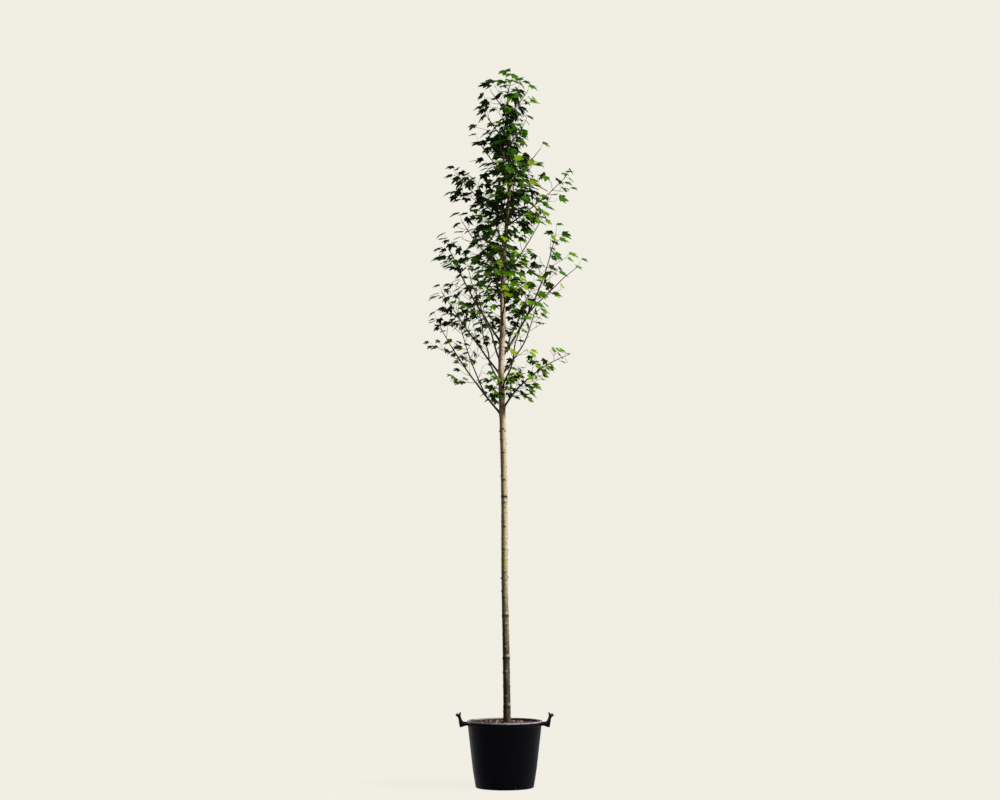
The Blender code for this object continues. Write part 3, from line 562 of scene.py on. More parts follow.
chip_rng = random.Random("chips")
for name, colour, number in CHIP_KINDS:
    heap = Heap()
    for _ in range(number):
        size = chip_rng.uniform(*CHIP_SIZE)
        radius = (INNER_RADIUS - CLEAR_OF_WALL) * math.sqrt(chip_rng.random())
        angle = chip_rng.uniform(0.0, 2.0 * math.pi)
        x, y = radius * math.cos(angle), radius * math.sin(angle)
        if math.hypot(x - STEM_X, y) < CLEAR_OF_STEM + size:
            continue
        place = Matrix.Translation((x, y, soil_height(x, y) + size * chip_rng.uniform(0.05, 0.30)))
        for axis, least, most in CHIP_TURNS:
            place = place @ Matrix.Rotation(chip_rng.uniform(least, most), 4, axis)
        corners, faces = chip(chip_rng, size)
        heap.add([place @ c for c in corners], faces)
    stand(name, heap.mesh(name), mix_surface(name, colour, 0.35), [], 30.0)

# %% [markdown]
# ## Where the limbs run
#
# From here on we need the tree's own numbers: how the trunk bends and tapers, how far the crown reaches
# at each height, and where each limb leaves its parent. They are the same as in the CAD source. The
# functions below turn them into smooth paths. A limb turns evenly from the angle at its foot to the
# angle at its tip and wanders a little; its name seeds that wander, so both versions agree.

# %% The trunk's and the crown's sizes
TRUNK_FOOT = SOIL_TOP + 0.0003
TRUNK_BENDS = (
    # height, then the middle of the trunk: to the right, and to the back
    (TRUNK_FOOT, STEM_X, 0.000),
    (0.72, 0.009, 0.003),
    (1.20, 0.000, 0.006),
    (1.66, -0.002, 0.002),
    (2.07, -0.011, -0.004),
    (2.40, -0.020, -0.006),
    (2.69, -0.010, -0.002),
    (2.87, -0.012, 0.006),
    (3.11, 0.001, 0.009),
    (3.30, 0.014, 0.004),
    (3.50, 0.030, -0.004),
    (3.83, 0.016, 0.003),
    (3.96, 0.018, 0.001),
    (4.03, 0.020, 0.000),
)
TRUNK_TOP = TRUNK_BENDS[-1][0]
TRUNK_GIRTHS = (
    # height, radius
    (TRUNK_FOOT, 0.0265),
    (TRUNK_FOOT + 0.018, 0.0228),
    (TRUNK_FOOT + 0.060, 0.0200),
    (0.72, 0.0186),
    (1.40, 0.0174),
    (2.10, 0.0168),
    (2.55, 0.0162),
    (2.85, 0.0140),
    (3.15, 0.0108),
    (3.50, 0.0092),
    (3.85, 0.0066),
    (4.03, 0.0040),
)
CROWN_REACH = (
    # height, how far the crown reaches to the left, and to the right
    (2.18, 0.14, 0.16),
    (2.30, 0.26, 0.24),
    (2.50, 0.50, 0.39),
    (2.59, 0.42, 0.25),
    (2.80, 0.43, 0.31),
    (3.00, 0.42, 0.50),
    (3.12, 0.43, 0.43),
    (3.22, 0.31, 0.35),
    (3.33, 0.33, 0.28),
    (3.50, 0.42, 0.43),
    (3.70, 0.25, 0.21),
    (3.90, 0.20, 0.16),
    (4.08, 0.15, 0.19),
    (4.20, 0.09, 0.09),
)
CROWN_TOP = 4.215

# %% The limbs and the tiers of the crown
LIMBS = (
    # name, parent, start, azimuth, angle at foot, angle at tip, length, bare share, foot radius
    ("left_low", "trunk", 2.125, 182, 42, 28, 0.65, 0.32, 0.0066),
    ("left_low_fork", "left_low", 0.23, 172, 26, 12, 0.52, 0.30, 0.0044),
    ("right_low", "trunk", 2.160, -5, 30, 70, 0.51, 0.12, 0.0062),
    ("front_low", "trunk", 2.270, -60, 42, 26, 0.56, 0.34, 0.0060),
    ("back_low", "trunk", 2.290, 118, 42, 26, 0.58, 0.34, 0.0060),
    ("left_mid", "trunk", 2.360, 163, 40, 32, 0.60, 0.34, 0.0064),
    ("right_mid", "trunk", 2.365, -20, 44, 14, 0.44, 0.36, 0.0056),
    ("front_mid", "trunk", 2.430, -124, 40, 24, 0.58, 0.36, 0.0060),
    ("back_mid", "trunk", 2.440, 56, 40, 26, 0.58, 0.36, 0.0060),
    ("right_high", "trunk", 2.470, 9, 36, 12, 0.78, 0.46, 0.0070),
    ("right_high_fork", "right_high", 0.40, -9, 44, 52, 0.36, 0.26, 0.0042),
    ("left_high", "trunk", 2.550, 190, 36, 22, 0.66, 0.36, 0.0068),
    ("front_high", "trunk", 2.640, -84, 34, 26, 0.52, 0.30, 0.0056),
    ("back_high", "trunk", 2.660, 92, 34, 26, 0.52, 0.30, 0.0056),
)
TIERS = (
    # name, height, azimuth of its first side, that side's angle off the vertical, the other side's
    ("tier_1", 2.800, 68, 40, 40),
    ("tier_2", 2.945, 4, 34, 40),
    ("tier_3", 3.110, 98, 40, 40),
    ("tier_4", 3.250, -6, 51, 46),
    ("tier_5", 3.390, 84, 42, 42),
    ("tier_6", 3.510, 8, 42, 42),
    ("tier_7", 3.630, 96, 38, 38),
    ("tier_8", 3.730, -4, 38, 38),
    ("tier_9", 3.825, 80, 42, 42),
    ("tier_10", 3.915, 6, 40, 38),
)
LIMB_STEP = 0.075
LIMB_WANDER = 0.006
TIER_FOOT_RADIUS = 0.0046
TIP_ROOM = 0.080


# %% Read the tables
def read_rows(rows, height, column):
    """A value read off rows that start with a height, straight between two rows."""
    if height <= rows[0][0]:
        return rows[0][column]
    for low, high in zip(rows, rows[1:]):
        if height <= high[0]:
            share = (height - low[0]) / (high[0] - low[0])
            return low[column] + (high[column] - low[column]) * share
    return rows[-1][column]


def smooth_rows(rows, height, column):
    """The same on a smooth curve through the rows."""
    last = len(rows) - 1
    i = 0
    while i < last - 1 and height > rows[i + 1][0]:
        i += 1
    z0, z1 = rows[i][0], rows[i + 1][0]
    v0, v1 = rows[i][column], rows[i + 1][column]
    before, after = rows[max(i - 1, 0)], rows[min(i + 2, last)]
    slope0 = (v1 - before[column]) / (z1 - before[0]) if i else 0.0
    slope1 = (after[column] - v0) / (after[0] - z0)
    t = min(max((height - z0) / (z1 - z0), 0.0), 1.0)
    rise = v0 * (1 + 2 * t) * (1 - t) ** 2 + v1 * t * t * (3 - 2 * t)
    return rise + (z1 - z0) * (slope0 * t * (1 - t) ** 2 - slope1 * t * t * (1 - t))


def trunk_point(height):
    """The middle of the trunk at a height."""
    return Vector((smooth_rows(TRUNK_BENDS, height, 1), smooth_rows(TRUNK_BENDS, height, 2), height))


def trunk_beside(point):
    """The middle of the trunk at the same height, or its tip for what lies above it."""
    return trunk_point(min(point.z, TRUNK_TOP))


def crown_reach(height, azimuth):
    """How far the crown reaches from the trunk at a height, towards a side."""
    left = read_rows(CROWN_REACH, height, 1)
    right = read_rows(CROWN_REACH, height, 2)
    return left + (right - left) * (0.5 + 0.5 * math.cos(azimuth))


def within(point, room):
    """Whether a point keeps to the crown's reach at its height, with this much room to spare."""
    out = (point - trunk_beside(point)).to_2d()
    if point.z + room > CROWN_TOP:
        return False
    return out.length + room < crown_reach(point.z, math.atan2(out.y, out.x))


# %% Paths of limbs
def heading(azimuth, angle):
    """The direction towards a side, at an angle off the vertical."""
    flat = math.sin(angle)
    return Vector((flat * math.cos(azimuth), flat * math.sin(azimuth), math.cos(angle)))


def limb_path(start, azimuth, foot_angle, tip_angle, length, rng):
    """Points along a limb that turns evenly from its foot's angle to its tip's and wanders a little."""
    count = max(4, round(length / LIMB_STEP))
    swing = rng.uniform(0.0, 2.0 * math.pi)
    points = [start.copy()]
    for i in range(count):
        share = (i + 0.5) / count
        angle = math.radians(foot_angle + (tip_angle - foot_angle) * share)
        bend = math.radians(azimuth) + 0.16 * math.sin(swing + 4.0 * share)
        points.append(points[-1] + heading(bend, angle) * (length / count))
    side = Vector((-math.sin(math.radians(azimuth)), math.cos(math.radians(azimuth)), 0.0))
    for i, point in enumerate(points):
        if i:
            point += side * LIMB_WANDER * math.sin(swing + 2.1 * i)
    return points


def path_length(points):
    return sum((b - a).length for a, b in zip(points, points[1:]))


def at_length(points, distance):
    """The point and the direction this far along a path."""
    for a, b in zip(points, points[1:]):
        step = (b - a).length
        if distance <= step or b is points[-1]:
            along = (b - a) / step
            return a + along * distance, along
        distance -= step


def rounded_path(points, step):
    """A path of even short steps on a smooth curve through the points of a coarse one."""
    ends = [points[0] * 2.0 - points[1], *points, points[-1] * 2.0 - points[-2]]
    fine = []
    for p0, p1, p2, p3 in zip(ends, ends[1:], ends[2:], ends[3:]):
        count = max(2, round((p2 - p1).length / step))
        for i in range(count):
            t = i / count
            fine.append(
                (p1 * 2.0 + (p2 - p0) * t + (p0 * 2.0 - p1 * 5.0 + p2 * 4.0 - p3) * t * t
                 + (p1 * 3.0 - p0 - p2 * 3.0 + p3) * t ** 3) * 0.5
            )
    fine.append(points[-1].copy())
    return fine


# %% [markdown]
# ## Which limbs there are
#
# A maple's buds stand in opposite pairs, and each pair is turned a quarter from the one below. That is
# why the lower boughs and the tiers above them head for the four sides by turns. Each limb goes on as
# the leafy stem of its own mass of foliage. `STEMS` holds those stems: the node of the frame, the leafy
# path, the path of the whole limb, and how thick that is at its foot.

# %% Lay out the stems
SIDE_NAMES = ("right", "back", "left", "front")
CUT_STEP = 0.010
SHORT_STEP = 0.025
LEAST_TIER = 0.13
FIRST_TIER = 0.30
SECOND_SIDE_RISE = 0.018
LEADER_FOOT_RADIUS = 0.0040
PATHS = {}
STEMS = []


def add_stem(node, path, foot, whole):
    """Notes a leafy stem: its node, its path, how thick its limb is at the foot, and the limb's path."""
    STEMS.append({"node": node, "path": path, "foot": foot, "whole": whole})


for name, parent, start, azimuth, foot_angle, tip_angle, length, bare, foot in LIMBS:
    if parent == "trunk":
        origin = trunk_point(start)
    else:
        origin, _ = at_length(PATHS[parent], start * path_length(PATHS[parent]))
    path = limb_path(origin, azimuth, foot_angle, tip_angle, length, random.Random(name))
    PATHS[name] = path
    cut, along = at_length(path, length * bare)
    rest = [cut, cut + along * CUT_STEP]
    walked = 0.0
    for a, b in zip(path, path[1:]):
        walked += (b - a).length
        if walked >= length * bare and (b - cut).length > SHORT_STEP:
            rest.append(b.copy())
    add_stem("leaves_" + name, rest, foot, path)
for name, height, azimuth, first_angle, second_angle in TIERS:
    for half, angle in enumerate((first_angle, second_angle)):
        rng = random.Random(f"{name} {half}")
        bearing = azimuth + 180.0 * half + rng.uniform(-8.0, 8.0)
        start = trunk_point(height + SECOND_SIDE_RISE * half)
        length = FIRST_TIER
        for _ in range(4):
            # a longer stem ends higher, where the crown reaches less far, so the length has to settle
            rise = length * math.cos(math.radians(angle))
            reach = crown_reach(start.z + rise, math.radians(bearing))
            length = max(LEAST_TIER, (reach - TIP_ROOM) / math.sin(math.radians(angle)))
        path = limb_path(start, bearing, angle + 5.0, angle - 7.0, length, rng)
        add_stem(f"leaves_{name}_{SIDE_NAMES[round(bearing / 90.0) % 4]}", path, TIER_FOOT_RADIUS, path)
top = trunk_point(TRUNK_TOP)
along = (top - trunk_point(TRUNK_TOP - 0.125)).normalized()
leader = [top, top + along * 0.02, top + along * 0.06 + Vector((0.006, 0.0, 0.0))]
leader.append(leader[-1] + Vector((0.010, 0.002, 0.030)))
add_stem("leaves_leader", leader, LEADER_FOOT_RADIUS, leader)
missing = [stem["node"] for stem in STEMS if stem["node"] not in frame["nodes"]]
print("stems:", len(STEMS), "not in the frame:", missing)

# %% [markdown]
# ## A tube that follows a path
#
# Trunk, boughs, twigs and leaf stalks are all tubes whose radius changes along the way. A Curve with a
# bevel would make them, but then each ring is a perfect circle. Writing the rings ourselves costs a few
# lines and lets the trunk have relief. The only trick is to carry one side direction along the path
# without twisting it.


# %% Rings along a path
def rings(path, sides):
    """For each point of a path: the point, and unit directions all round it."""
    ahead = (path[1] - path[0]).normalized()
    side = ahead.orthogonal().normalized()
    made = []
    for i, point in enumerate(path):
        ahead = (path[min(i + 1, len(path) - 1)] - path[max(i - 1, 0)]).normalized()
        side = (side - ahead * side.dot(ahead)).normalized()
        other = ahead.cross(side)
        made.append((point, [side * math.cos(t) + other * math.sin(t) for t in turns(sides)]))
    return made


def add_tube(heap, path, radii, sides):
    """Adds a closed tube along a path to a heap, with one radius for each point."""
    corners = []
    for (point, directions), radius in zip(rings(path, sides), radii):
        corners += [point + d * radius for d in directions]
    heap.add(corners, tube_faces(len(path), sides))


# %% [markdown]
# ## The trunk and its bark
#
# The bark of a young maple is thin and smooth, olive to grey brown, with fine upright cracks and pale
# breathing pores. What gives it character are the nodes: each year's pairs of side shoots leave a ring
# and two eye-shaped scars where they were cut away, with here and there a short snag. Where a bough
# leaves it, the trunk swells into a collar, and at the soil it flares over its roots. All of that is
# real relief in the mesh. Three values per point go along with it for the material: `scar` says how
# dark the bark is, `healed` how pale, and `algae` how green.

# %% Sizes of the relief
TRUNK_SIDES = 28
TRUNK_ROW = 0.004
BARK_THICKNESS = 0.0013
BARK_END = (2.75, 0.5)  # no bark above this height, and a full thickness this far below it
ROOTS = (
    # how far they stand out, how soon they fade upwards, how many, where the first one is
    (0.0030, 0.022, 5.0, 0.6),
    (0.0015, 0.030, 3.0, 2.0),
)
WAVES = (
    # how far they stand out, how fine they are round the stem, how fine they are up it
    (0.0005, 3.0, 9.0),
    (0.00018, 14.0, 60.0),
)
FINE_RING, DEEP_RING = 0.0026, 0.0078
RING_SWELLING = 0.0085
EYE = (0.0068, 0.0048)  # how far it spreads sideways and upwards
BROW = (0.0075, 0.0035, 0.0085)  # the same, and how far it is above the eye
NODES_BETWEEN = (0.425, 3.7)
NODE_STEPS = (0.055, 0.082)
DEEP_RINGS = (0.452, 0.730, 0.970, 1.655)
DEEP = 1.7  # how strong a deep ring's eyes are, where a common node's are 0.4 to 1
SNAGS = (
    # height, azimuth, length, radius
    (0.640, 184, 0.006, 0.0055),
    (0.958, 182, 0.005, 0.0055),
    (1.105, 184, 0.006, 0.0060),
    (1.178, 182, 0.007, 0.0062),
    (1.185, -4, 0.006, 0.0060),
    (1.340, -4, 0.006, 0.0055),
    (1.505, 186, 0.005, 0.0050),
    (1.770, 182, 0.006, 0.0058),
    (1.822, 0, 0.004, 0.0046),
    (1.958, -10, 0.006, 0.0050),
    (2.030, 183, 0.007, 0.0060),
    (2.032, -42, 0.004, 0.0056),
    (2.768, 196, 0.016, 0.0060),
)
PALE_SPOTS = (
    # height, azimuth, radius
    (1.160, -48, 0.0065),
    (1.415, -50, 0.0070),
    (1.575, -88, 0.0075),
    (1.960, -108, 0.0060),
    (1.300, -40, 0.0060),
    (0.985, -66, 0.0075),
    (0.742, -48, 0.0070),
    (2.240, -60, 0.0080),
)
ALGAE = (1.285, 0.032)  # its height, and how far it spreads up and down
scar_rng = random.Random("scars")
NODES = []
height, quarter = NODES_BETWEEN[0], 0.0
while height < NODES_BETWEEN[1]:
    NODES.append((height, quarter + scar_rng.uniform(-0.3, 0.3), scar_rng.uniform(0.4, 1.0)))
    height += scar_rng.uniform(*NODE_STEPS)
    quarter += math.pi / 2.0
NODES += [(height, scar_rng.uniform(0.0, 3.0), DEEP) for height in DEEP_RINGS]
print("nodes on the trunk:", len(NODES))


# %% Marks on the bark
def hump(along, across=0.0):
    """1 in the middle of a mark, and less and less round it. Each number is an offset over a width."""
    return math.exp(-(along ** 2) - (across ** 2))


def at_nodes(height, angle, girth, out):
    """The ring and the two eyes of each node: how far the bark stands out, how dark it is, how pale."""
    scar = pale = 0.0
    for place, quarter, size in NODES:
        away = height - place
        if abs(away) < 0.028:
            deep = size == DEEP
            ring = hump(away / (DEEP_RING if deep else FINE_RING))
            out += min(size, 1.2) * (0.00050 * ring + 0.00045 * hump(away / RING_SWELLING))
            broken = 0.5 + 0.5 * math.sin(3.0 * angle + 9.0 * quarter)
            scar = max(scar, (0.80 + 0.25 * broken if deep else 0.22 * broken) * ring)
            if deep:
                pale = max(pale, 0.45 * broken * hump((away - 0.017) / 0.0050))
            for turn in (quarter, quarter + math.pi):
                off = math.remainder(angle - turn, 2.0 * math.pi) * girth
                eye = hump(off / EYE[0], away / EYE[1])
                out += min(size, 1.2) * 0.0016 * eye
                scar = max(scar, size * 1.5 * eye)
                pale = max(pale, 0.7 * hump(off / BROW[0], (away - BROW[2]) / BROW[1]))
    return out, scar, pale


def at_boughs(height, angle, out, scar):
    """The collar where a limb comes out and the crease above it: how far the bark stands, how dark."""
    for stem in STEMS:
        start = stem["whole"][0]
        away = height - start.z
        if -0.05 < away < 0.07 and (start - trunk_point(start.z)).length < 0.001:
            lean = stem["whole"][1] - start
            off = math.remainder(angle - math.atan2(lean.y, lean.x), 2.0 * math.pi)
            out += min(stem["foot"], 0.007) * 0.34 * hump(off / 0.75, (away - 0.016) / 0.020)
            scar = max(scar, 0.7 * hump(off / 0.55, (away - 0.034) / 0.004))
    return out, scar


def bark_point(height, angle, girth):
    """How far the bark stands out here, then how strong the marks on it are: scar, healed rim, algae."""
    out = girth + BARK_THICKNESS * min(max((BARK_END[0] - height) / BARK_END[1], 0.0), 1.0)
    algae = hump((height - ALGAE[0]) / ALGAE[1]) * (0.6 + 0.4 * math.sin(3.0 * angle))
    rise = height - TRUNK_FOOT
    if rise < 0.09:
        for reach, fade, number, first in ROOTS:
            out += reach * math.exp(-rise / fade) * math.cos(number * angle + first)
    out, scar, pale = at_nodes(height, angle, girth, out)
    for place, azimuth, radius in PALE_SPOTS:
        if abs(height - place) < 0.02:
            off = math.remainder(angle - math.radians(azimuth), 2.0 * math.pi) * girth
            pale = max(pale, math.exp(-((off * off + (height - place) ** 2) / radius ** 2)))
    out, scar = at_boughs(height, angle, out, scar)
    for reach, around, upwards in WAVES:
        spot = Vector((math.cos(angle) * around, math.sin(angle) * around, height * upwards))
        out += reach * noise.noise(spot)
    return out, min(scar, 1.0), pale * (1.0 - min(scar, 1.0)), algae


# %% The trunk's mesh
SNAG_SIDES = 10
SNAG_TAPER = (1.7, 1.15, 1.0, 0.72)
SNAG_LIFT = 0.35
trunk = Heap()
rows = round((TRUNK_TOP - TRUNK_FOOT) / TRUNK_ROW)
corners, marks = [], []
for row in range(rows + 1):
    height = TRUNK_FOOT + (TRUNK_TOP - TRUNK_FOOT) * row / rows
    middle = trunk_point(height)
    girth = smooth_rows(TRUNK_GIRTHS, height, 1)
    for angle in turns(TRUNK_SIDES):
        out, *mark = bark_point(height, angle, girth)
        corners.append(middle + Vector((math.cos(angle), math.sin(angle), 0.0)) * out)
        marks.append(mark)
trunk.add(corners, tube_faces(rows + 1, TRUNK_SIDES))
for height, azimuth, length, radius in SNAGS:
    bearing = math.radians(azimuth)
    way = Vector((math.cos(bearing), math.sin(bearing), SNAG_LIFT)).normalized()
    foot = trunk_point(height) + way * (smooth_rows(TRUNK_GIRTHS, height, 1) - 0.003)
    path = [foot, foot + way * 0.004, foot + way * (length * 0.6), foot + way * (length + 0.002)]
    before = trunk.count
    add_tube(trunk, path, [radius * taper for taper in SNAG_TAPER], SNAG_SIDES)
    marks += [(0.8 if i < SNAG_SIDES else 1.0, 0.0, 0.0) for i in range(trunk.count - before)]
trunk_mesh = trunk.mesh("trunk_bark")
for name, values in zip(("scar", "healed", "algae"), zip(*marks)):
    trunk_mesh.attributes.new(name, "FLOAT", "POINT").data.foreach_set("value", list(values))

# %% [markdown]
# ### Colour of the bark
#
# The colour goes from dark grey brown near the soil, through beige, to a darker brown inside the crown.
# On the way it passes a pale pink beige from about 2.4 m to 2.8 m, which is painted light: it keeps the
# stem bright where the leaves above it shade it.
# Noises lie over it: one drawn out tall gives the streaks, a finer one the pores, a middling one the
# mottle, and a broad one patches of moss. Splashes from the soil stain the foot. The `scar` value
# darkens rings and eyes, `healed` pales the rim that grows over them, and `algae` lays a green film on
# one short stretch. The same maker serves the boughs, which are younger, browner and smoother.


# %% Bark materials
GREEN_FILM = (0.400, 0.410, 0.090)
STAINED_FOOT = (0.85, 0.50)  # no stain above the first height, all of it below the second
BARK_RISE = (0.35, 4.0)  # the heights that the four tones are spread between


def marked(tree, name):
    """A value that every point of the mesh carries."""
    made = tree.nodes.new("ShaderNodeAttribute")
    made.attribute_name = name
    return made.outputs["Fac"]


def bark(name, roughness, bump, low, middle, upper_painted_light, high, pale, dark, moss):
    """Bark in four tones up the tree, the third one painted light, with paler, darker and mossy marks
    over them.
    """
    made, tree, shader = new_surface(name, middle, roughness, 0.2)
    height = upward(tree, "Object")
    # the third tone is painted light where the crown's leaves shade the trunk; boughs and twigs repeat
    # their middle tone in it
    tones = [(0.0, low), (0.11, low), (0.30, middle), (0.48, middle), (0.55, upper_painted_light), (0.68, upper_painted_light)]
    tone = ramp(tree, span(tree, height, *BARK_RISE), *tones, (0.85, high))
    streaks = speckle(tree, 70.0, 4.0, (1.0, 1.0, 0.16))
    patches = speckle(tree, 11.0, 3.0, (1.0, 1.0, 0.5))
    mottle = speckle(tree, 85.0, 3.0, (1.0, 1.0, 0.9))
    pores = speckle(tree, 260.0, 2.0, (1.0, 1.0, 0.7))
    for value, none_at, most_at, most, colour in (
        (patches, 0.54, 0.70, 0.55, moss),
        (streaks, 0.52, 0.72, 0.50, pale),
        (streaks, 0.44, 0.28, 0.65, dark),
        (mottle, 0.54, 0.66, 0.28, pale),
        (mottle, 0.47, 0.36, 0.60, dark),
        (pores, 0.64, 0.74, 0.50, pale),
        (height, *STAINED_FOOT, 0.75, low),
    ):
        tone = blend(tree, span(tree, value, none_at, most_at, 0.0, most), tone, colour)
    tone = blend(tree, marked(tree, "algae"), tone, GREEN_FILM)
    tone = blend(tree, marked(tree, "healed"), tone, pale)
    tone = blend(tree, marked(tree, "scar"), tone, tuple(c * 0.22 for c in dark))
    tree.links.new(tone, shader.inputs["Base Color"])
    relief(tree, shader, streaks, bump)
    return made


TRUNK_BARK = bark(
    "trunk_bark",
    roughness=0.85,
    bump=0.0009,
    low=(0.044, 0.035, 0.023),
    middle=(0.560, 0.470, 0.272),
    # painted light: a pale pink beige from about 2.4 m to 2.8 m, where the crown's leaves shade the
    # trunk
    upper_painted_light=(0.800, 0.600, 0.430),
    high=(0.230, 0.170, 0.105),
    pale=(0.640, 0.550, 0.370),
    dark=(0.085, 0.060, 0.030),
    moss=(0.330, 0.310, 0.110),
)
stand("trunk_bark", trunk_mesh, TRUNK_BARK, ["trunk"], 60.0)

# %% [markdown]
# ## The boughs
#
# A bough is a thinner tube on its limb's path, from inside the trunk to the last leaf, in one smooth
# taper. It is thickest in the collar at its foot, and swells a little at each node. The stems of the
# upper tiers are made the same way, so all of them are joined into one piece.


# %% The boughs' mesh
BOUGH_SIDES = 10
BOUGH_ROW = 0.010
STEM_TIP = 0.0013
TIP_GROWTH = 0.045
LEADER_GROWTH = 0.012
COLLAR = (0.42, 0.022, 0.010)  # a share of the foot's radius, how long it is, how soon it fades
NODE_STEP = 0.056
NODE_SWELLING = (0.10, 0.004)  # a share of the radius, and how far it spreads


def grown_on(path, length):
    """A path that goes on a little in its last direction, bending up."""
    way = (path[-1] - path[-2]).normalized()
    first = path[-1] + way * length * 0.5
    return path + [first, first + (way + UP * 0.25).normalized() * length * 0.5]


boughs = Heap()
LIMB_POINTS = []
for stem in STEMS:
    is_leader = stem["node"] == "leaves_leader"
    growth = LEADER_GROWTH if is_leader else TIP_GROWTH
    while growth > LEADER_GROWTH and not within(stem["path"][-1] + UP * growth, 0.6 * growth):
        growth *= 0.6
    stem["path"] = grown_on(stem["path"], growth)
    whole = rounded_path(grown_on(stem["whole"], growth), BOUGH_ROW)
    total = path_length(whole)
    first_node = random.Random(stem["node"] + " bark").uniform(0.0, 0.05)
    walked, radii = 0.0, []
    for i, point in enumerate(whole):
        walked += (point - whole[i - 1]).length if i else 0.0
        radius = STEM_TIP + (stem["foot"] - STEM_TIP) * (1.0 - walked / total) ** 0.85
        if not is_leader:
            radius += COLLAR[0] * stem["foot"] * math.exp(-max(walked - COLLAR[1], 0.0) / COLLAR[2])
        away = math.remainder(walked - first_node, NODE_STEP)
        radius *= 1.0 + NODE_SWELLING[0] * hump(away / NODE_SWELLING[1])
        radii.append(radius)
        LIMB_POINTS.append((point, radius))
    add_tube(boughs, whole, radii, BOUGH_SIDES)
BOUGH_BARK = bark(
    "bough_bark",
    roughness=0.78,
    bump=0.0005,
    low=(0.095, 0.064, 0.042),
    middle=(0.100, 0.067, 0.044),
    upper_painted_light=(0.100, 0.067, 0.044),
    high=(0.080, 0.054, 0.036),
    pale=(0.260, 0.195, 0.140),
    dark=(0.045, 0.029, 0.020),
    moss=(0.120, 0.105, 0.058),
)
bough_nodes = ["bough_" + row[0] for row in LIMBS]
stand("boughs", boughs.mesh("boughs"), BOUGH_BARK, bough_nodes, 50.0)

# %% [markdown]
# ## Twigs by the source's rule
#
# Along each stem the CAD source sets a node about every 56 mm, and puts a pair of side twigs on every
# second one, a quarter turn on from the last pair. The same seeded numbers are drawn here, so these
# twigs lie where the solids have them. Then the rule is carried on to finer wood: short shoots on the
# nodes between, and twiglets on the longer twigs. Each twig belongs to a spray, which later decides
# the tint of its leaves.

# %% Sizes of the twigs
FULL_STEM = 0.26
LEAST_VIGOUR = 0.78
LEADER_VIGOUR = 0.92
SHOOT_VIGOUR = 0.85
SIDE_TWIG = 0.150
SHORT_SHOOT = (0.045, 0.085)
TWIG_FOOT = 0.0017
TWIG_TIP = 0.0009
TWIGLET_PLACE = 0.42
TWIGLET_SHARE = (0.32, 0.45)
FORKING_LENGTH = 0.095
TWIG, TWIGLET = 1, 2
LOW_SHOOTS = (
    # height on the trunk, azimuth, length
    (2.185, 158, 0.075),
    (2.205, -62, 0.060),
    (2.215, 222, 0.085),
    (2.235, 20, 0.080),
    (2.250, 186, 0.095),
    (2.262, 118, 0.070),
    (2.280, -28, 0.090),
    (2.300, 205, 0.080),
    (2.325, 70, 0.070),
    (2.345, 170, 0.085),
    (2.195, -112, 0.065),
    (2.240, -84, 0.075),
    (2.305, -100, 0.070),
    (2.700, 198, 0.090),
    (2.745, 158, 0.085),
    (2.785, 222, 0.080),
    (2.290, -14, 0.125),
    (2.335, 10, 0.120),
    (2.255, -40, 0.095),
)


# %% How a twig grows
def across(along, angle):
    """A direction square to another one, turned about it by an angle from the level."""
    level = along.cross(UP)
    if level.length < 1e-3:
        level = Vector((1.0, 0.0, 0.0))
    return Matrix.Rotation(angle, 3, along) @ level.normalized()


def any_way(rng):
    """Three random numbers as a direction."""
    return Vector((rng.uniform(-1, 1), rng.uniform(-1, 1), rng.uniform(-1, 1)))


def twig_path(start, way, length, rng):
    """A twig that bends up towards the light, pulled in until its tip keeps to the crown."""
    for _ in range(5):
        middle = start + way * length * 0.5 + UP * length * 0.02
        tip = middle + (way + UP * 0.22).normalized() * length * 0.5
        if within(tip, 0.012):
            break
        length *= 0.8
    sway = any_way(rng) * length * 0.03
    return [start, start + way * length * 0.25 + sway * 0.6, middle + sway, tip]


def grow_twig(start, way, length, rng, spray, order, vigour, parent=None):
    """Adds a twig to the list, and twiglets on it where it is long enough to carry them."""
    path = twig_path(start, way, length, rng)
    foot = TWIG_FOOT if order == TWIG else TWIG_TIP * 1.3
    place = len(TWIGS)
    twig = {"path": path, "spray": spray, "foot": foot, "order": order, "vigour": vigour}
    TWIGS.append({**twig, "parent": parent})
    if order == TWIG and length > FORKING_LENGTH:
        for hand in (0, 1):
            fork, ahead = at_length(path, path_length(path) * TWIGLET_PLACE)
            out = across(ahead, hand * math.pi + rng.uniform(-0.4, 0.4))
            finer_way = (out + ahead * 0.8 + UP * 0.1).normalized()
            finer_length = length * rng.uniform(*TWIGLET_SHARE)
            grow_twig(fork, finer_way, finer_length, rng, spray, TWIGLET, vigour, place)


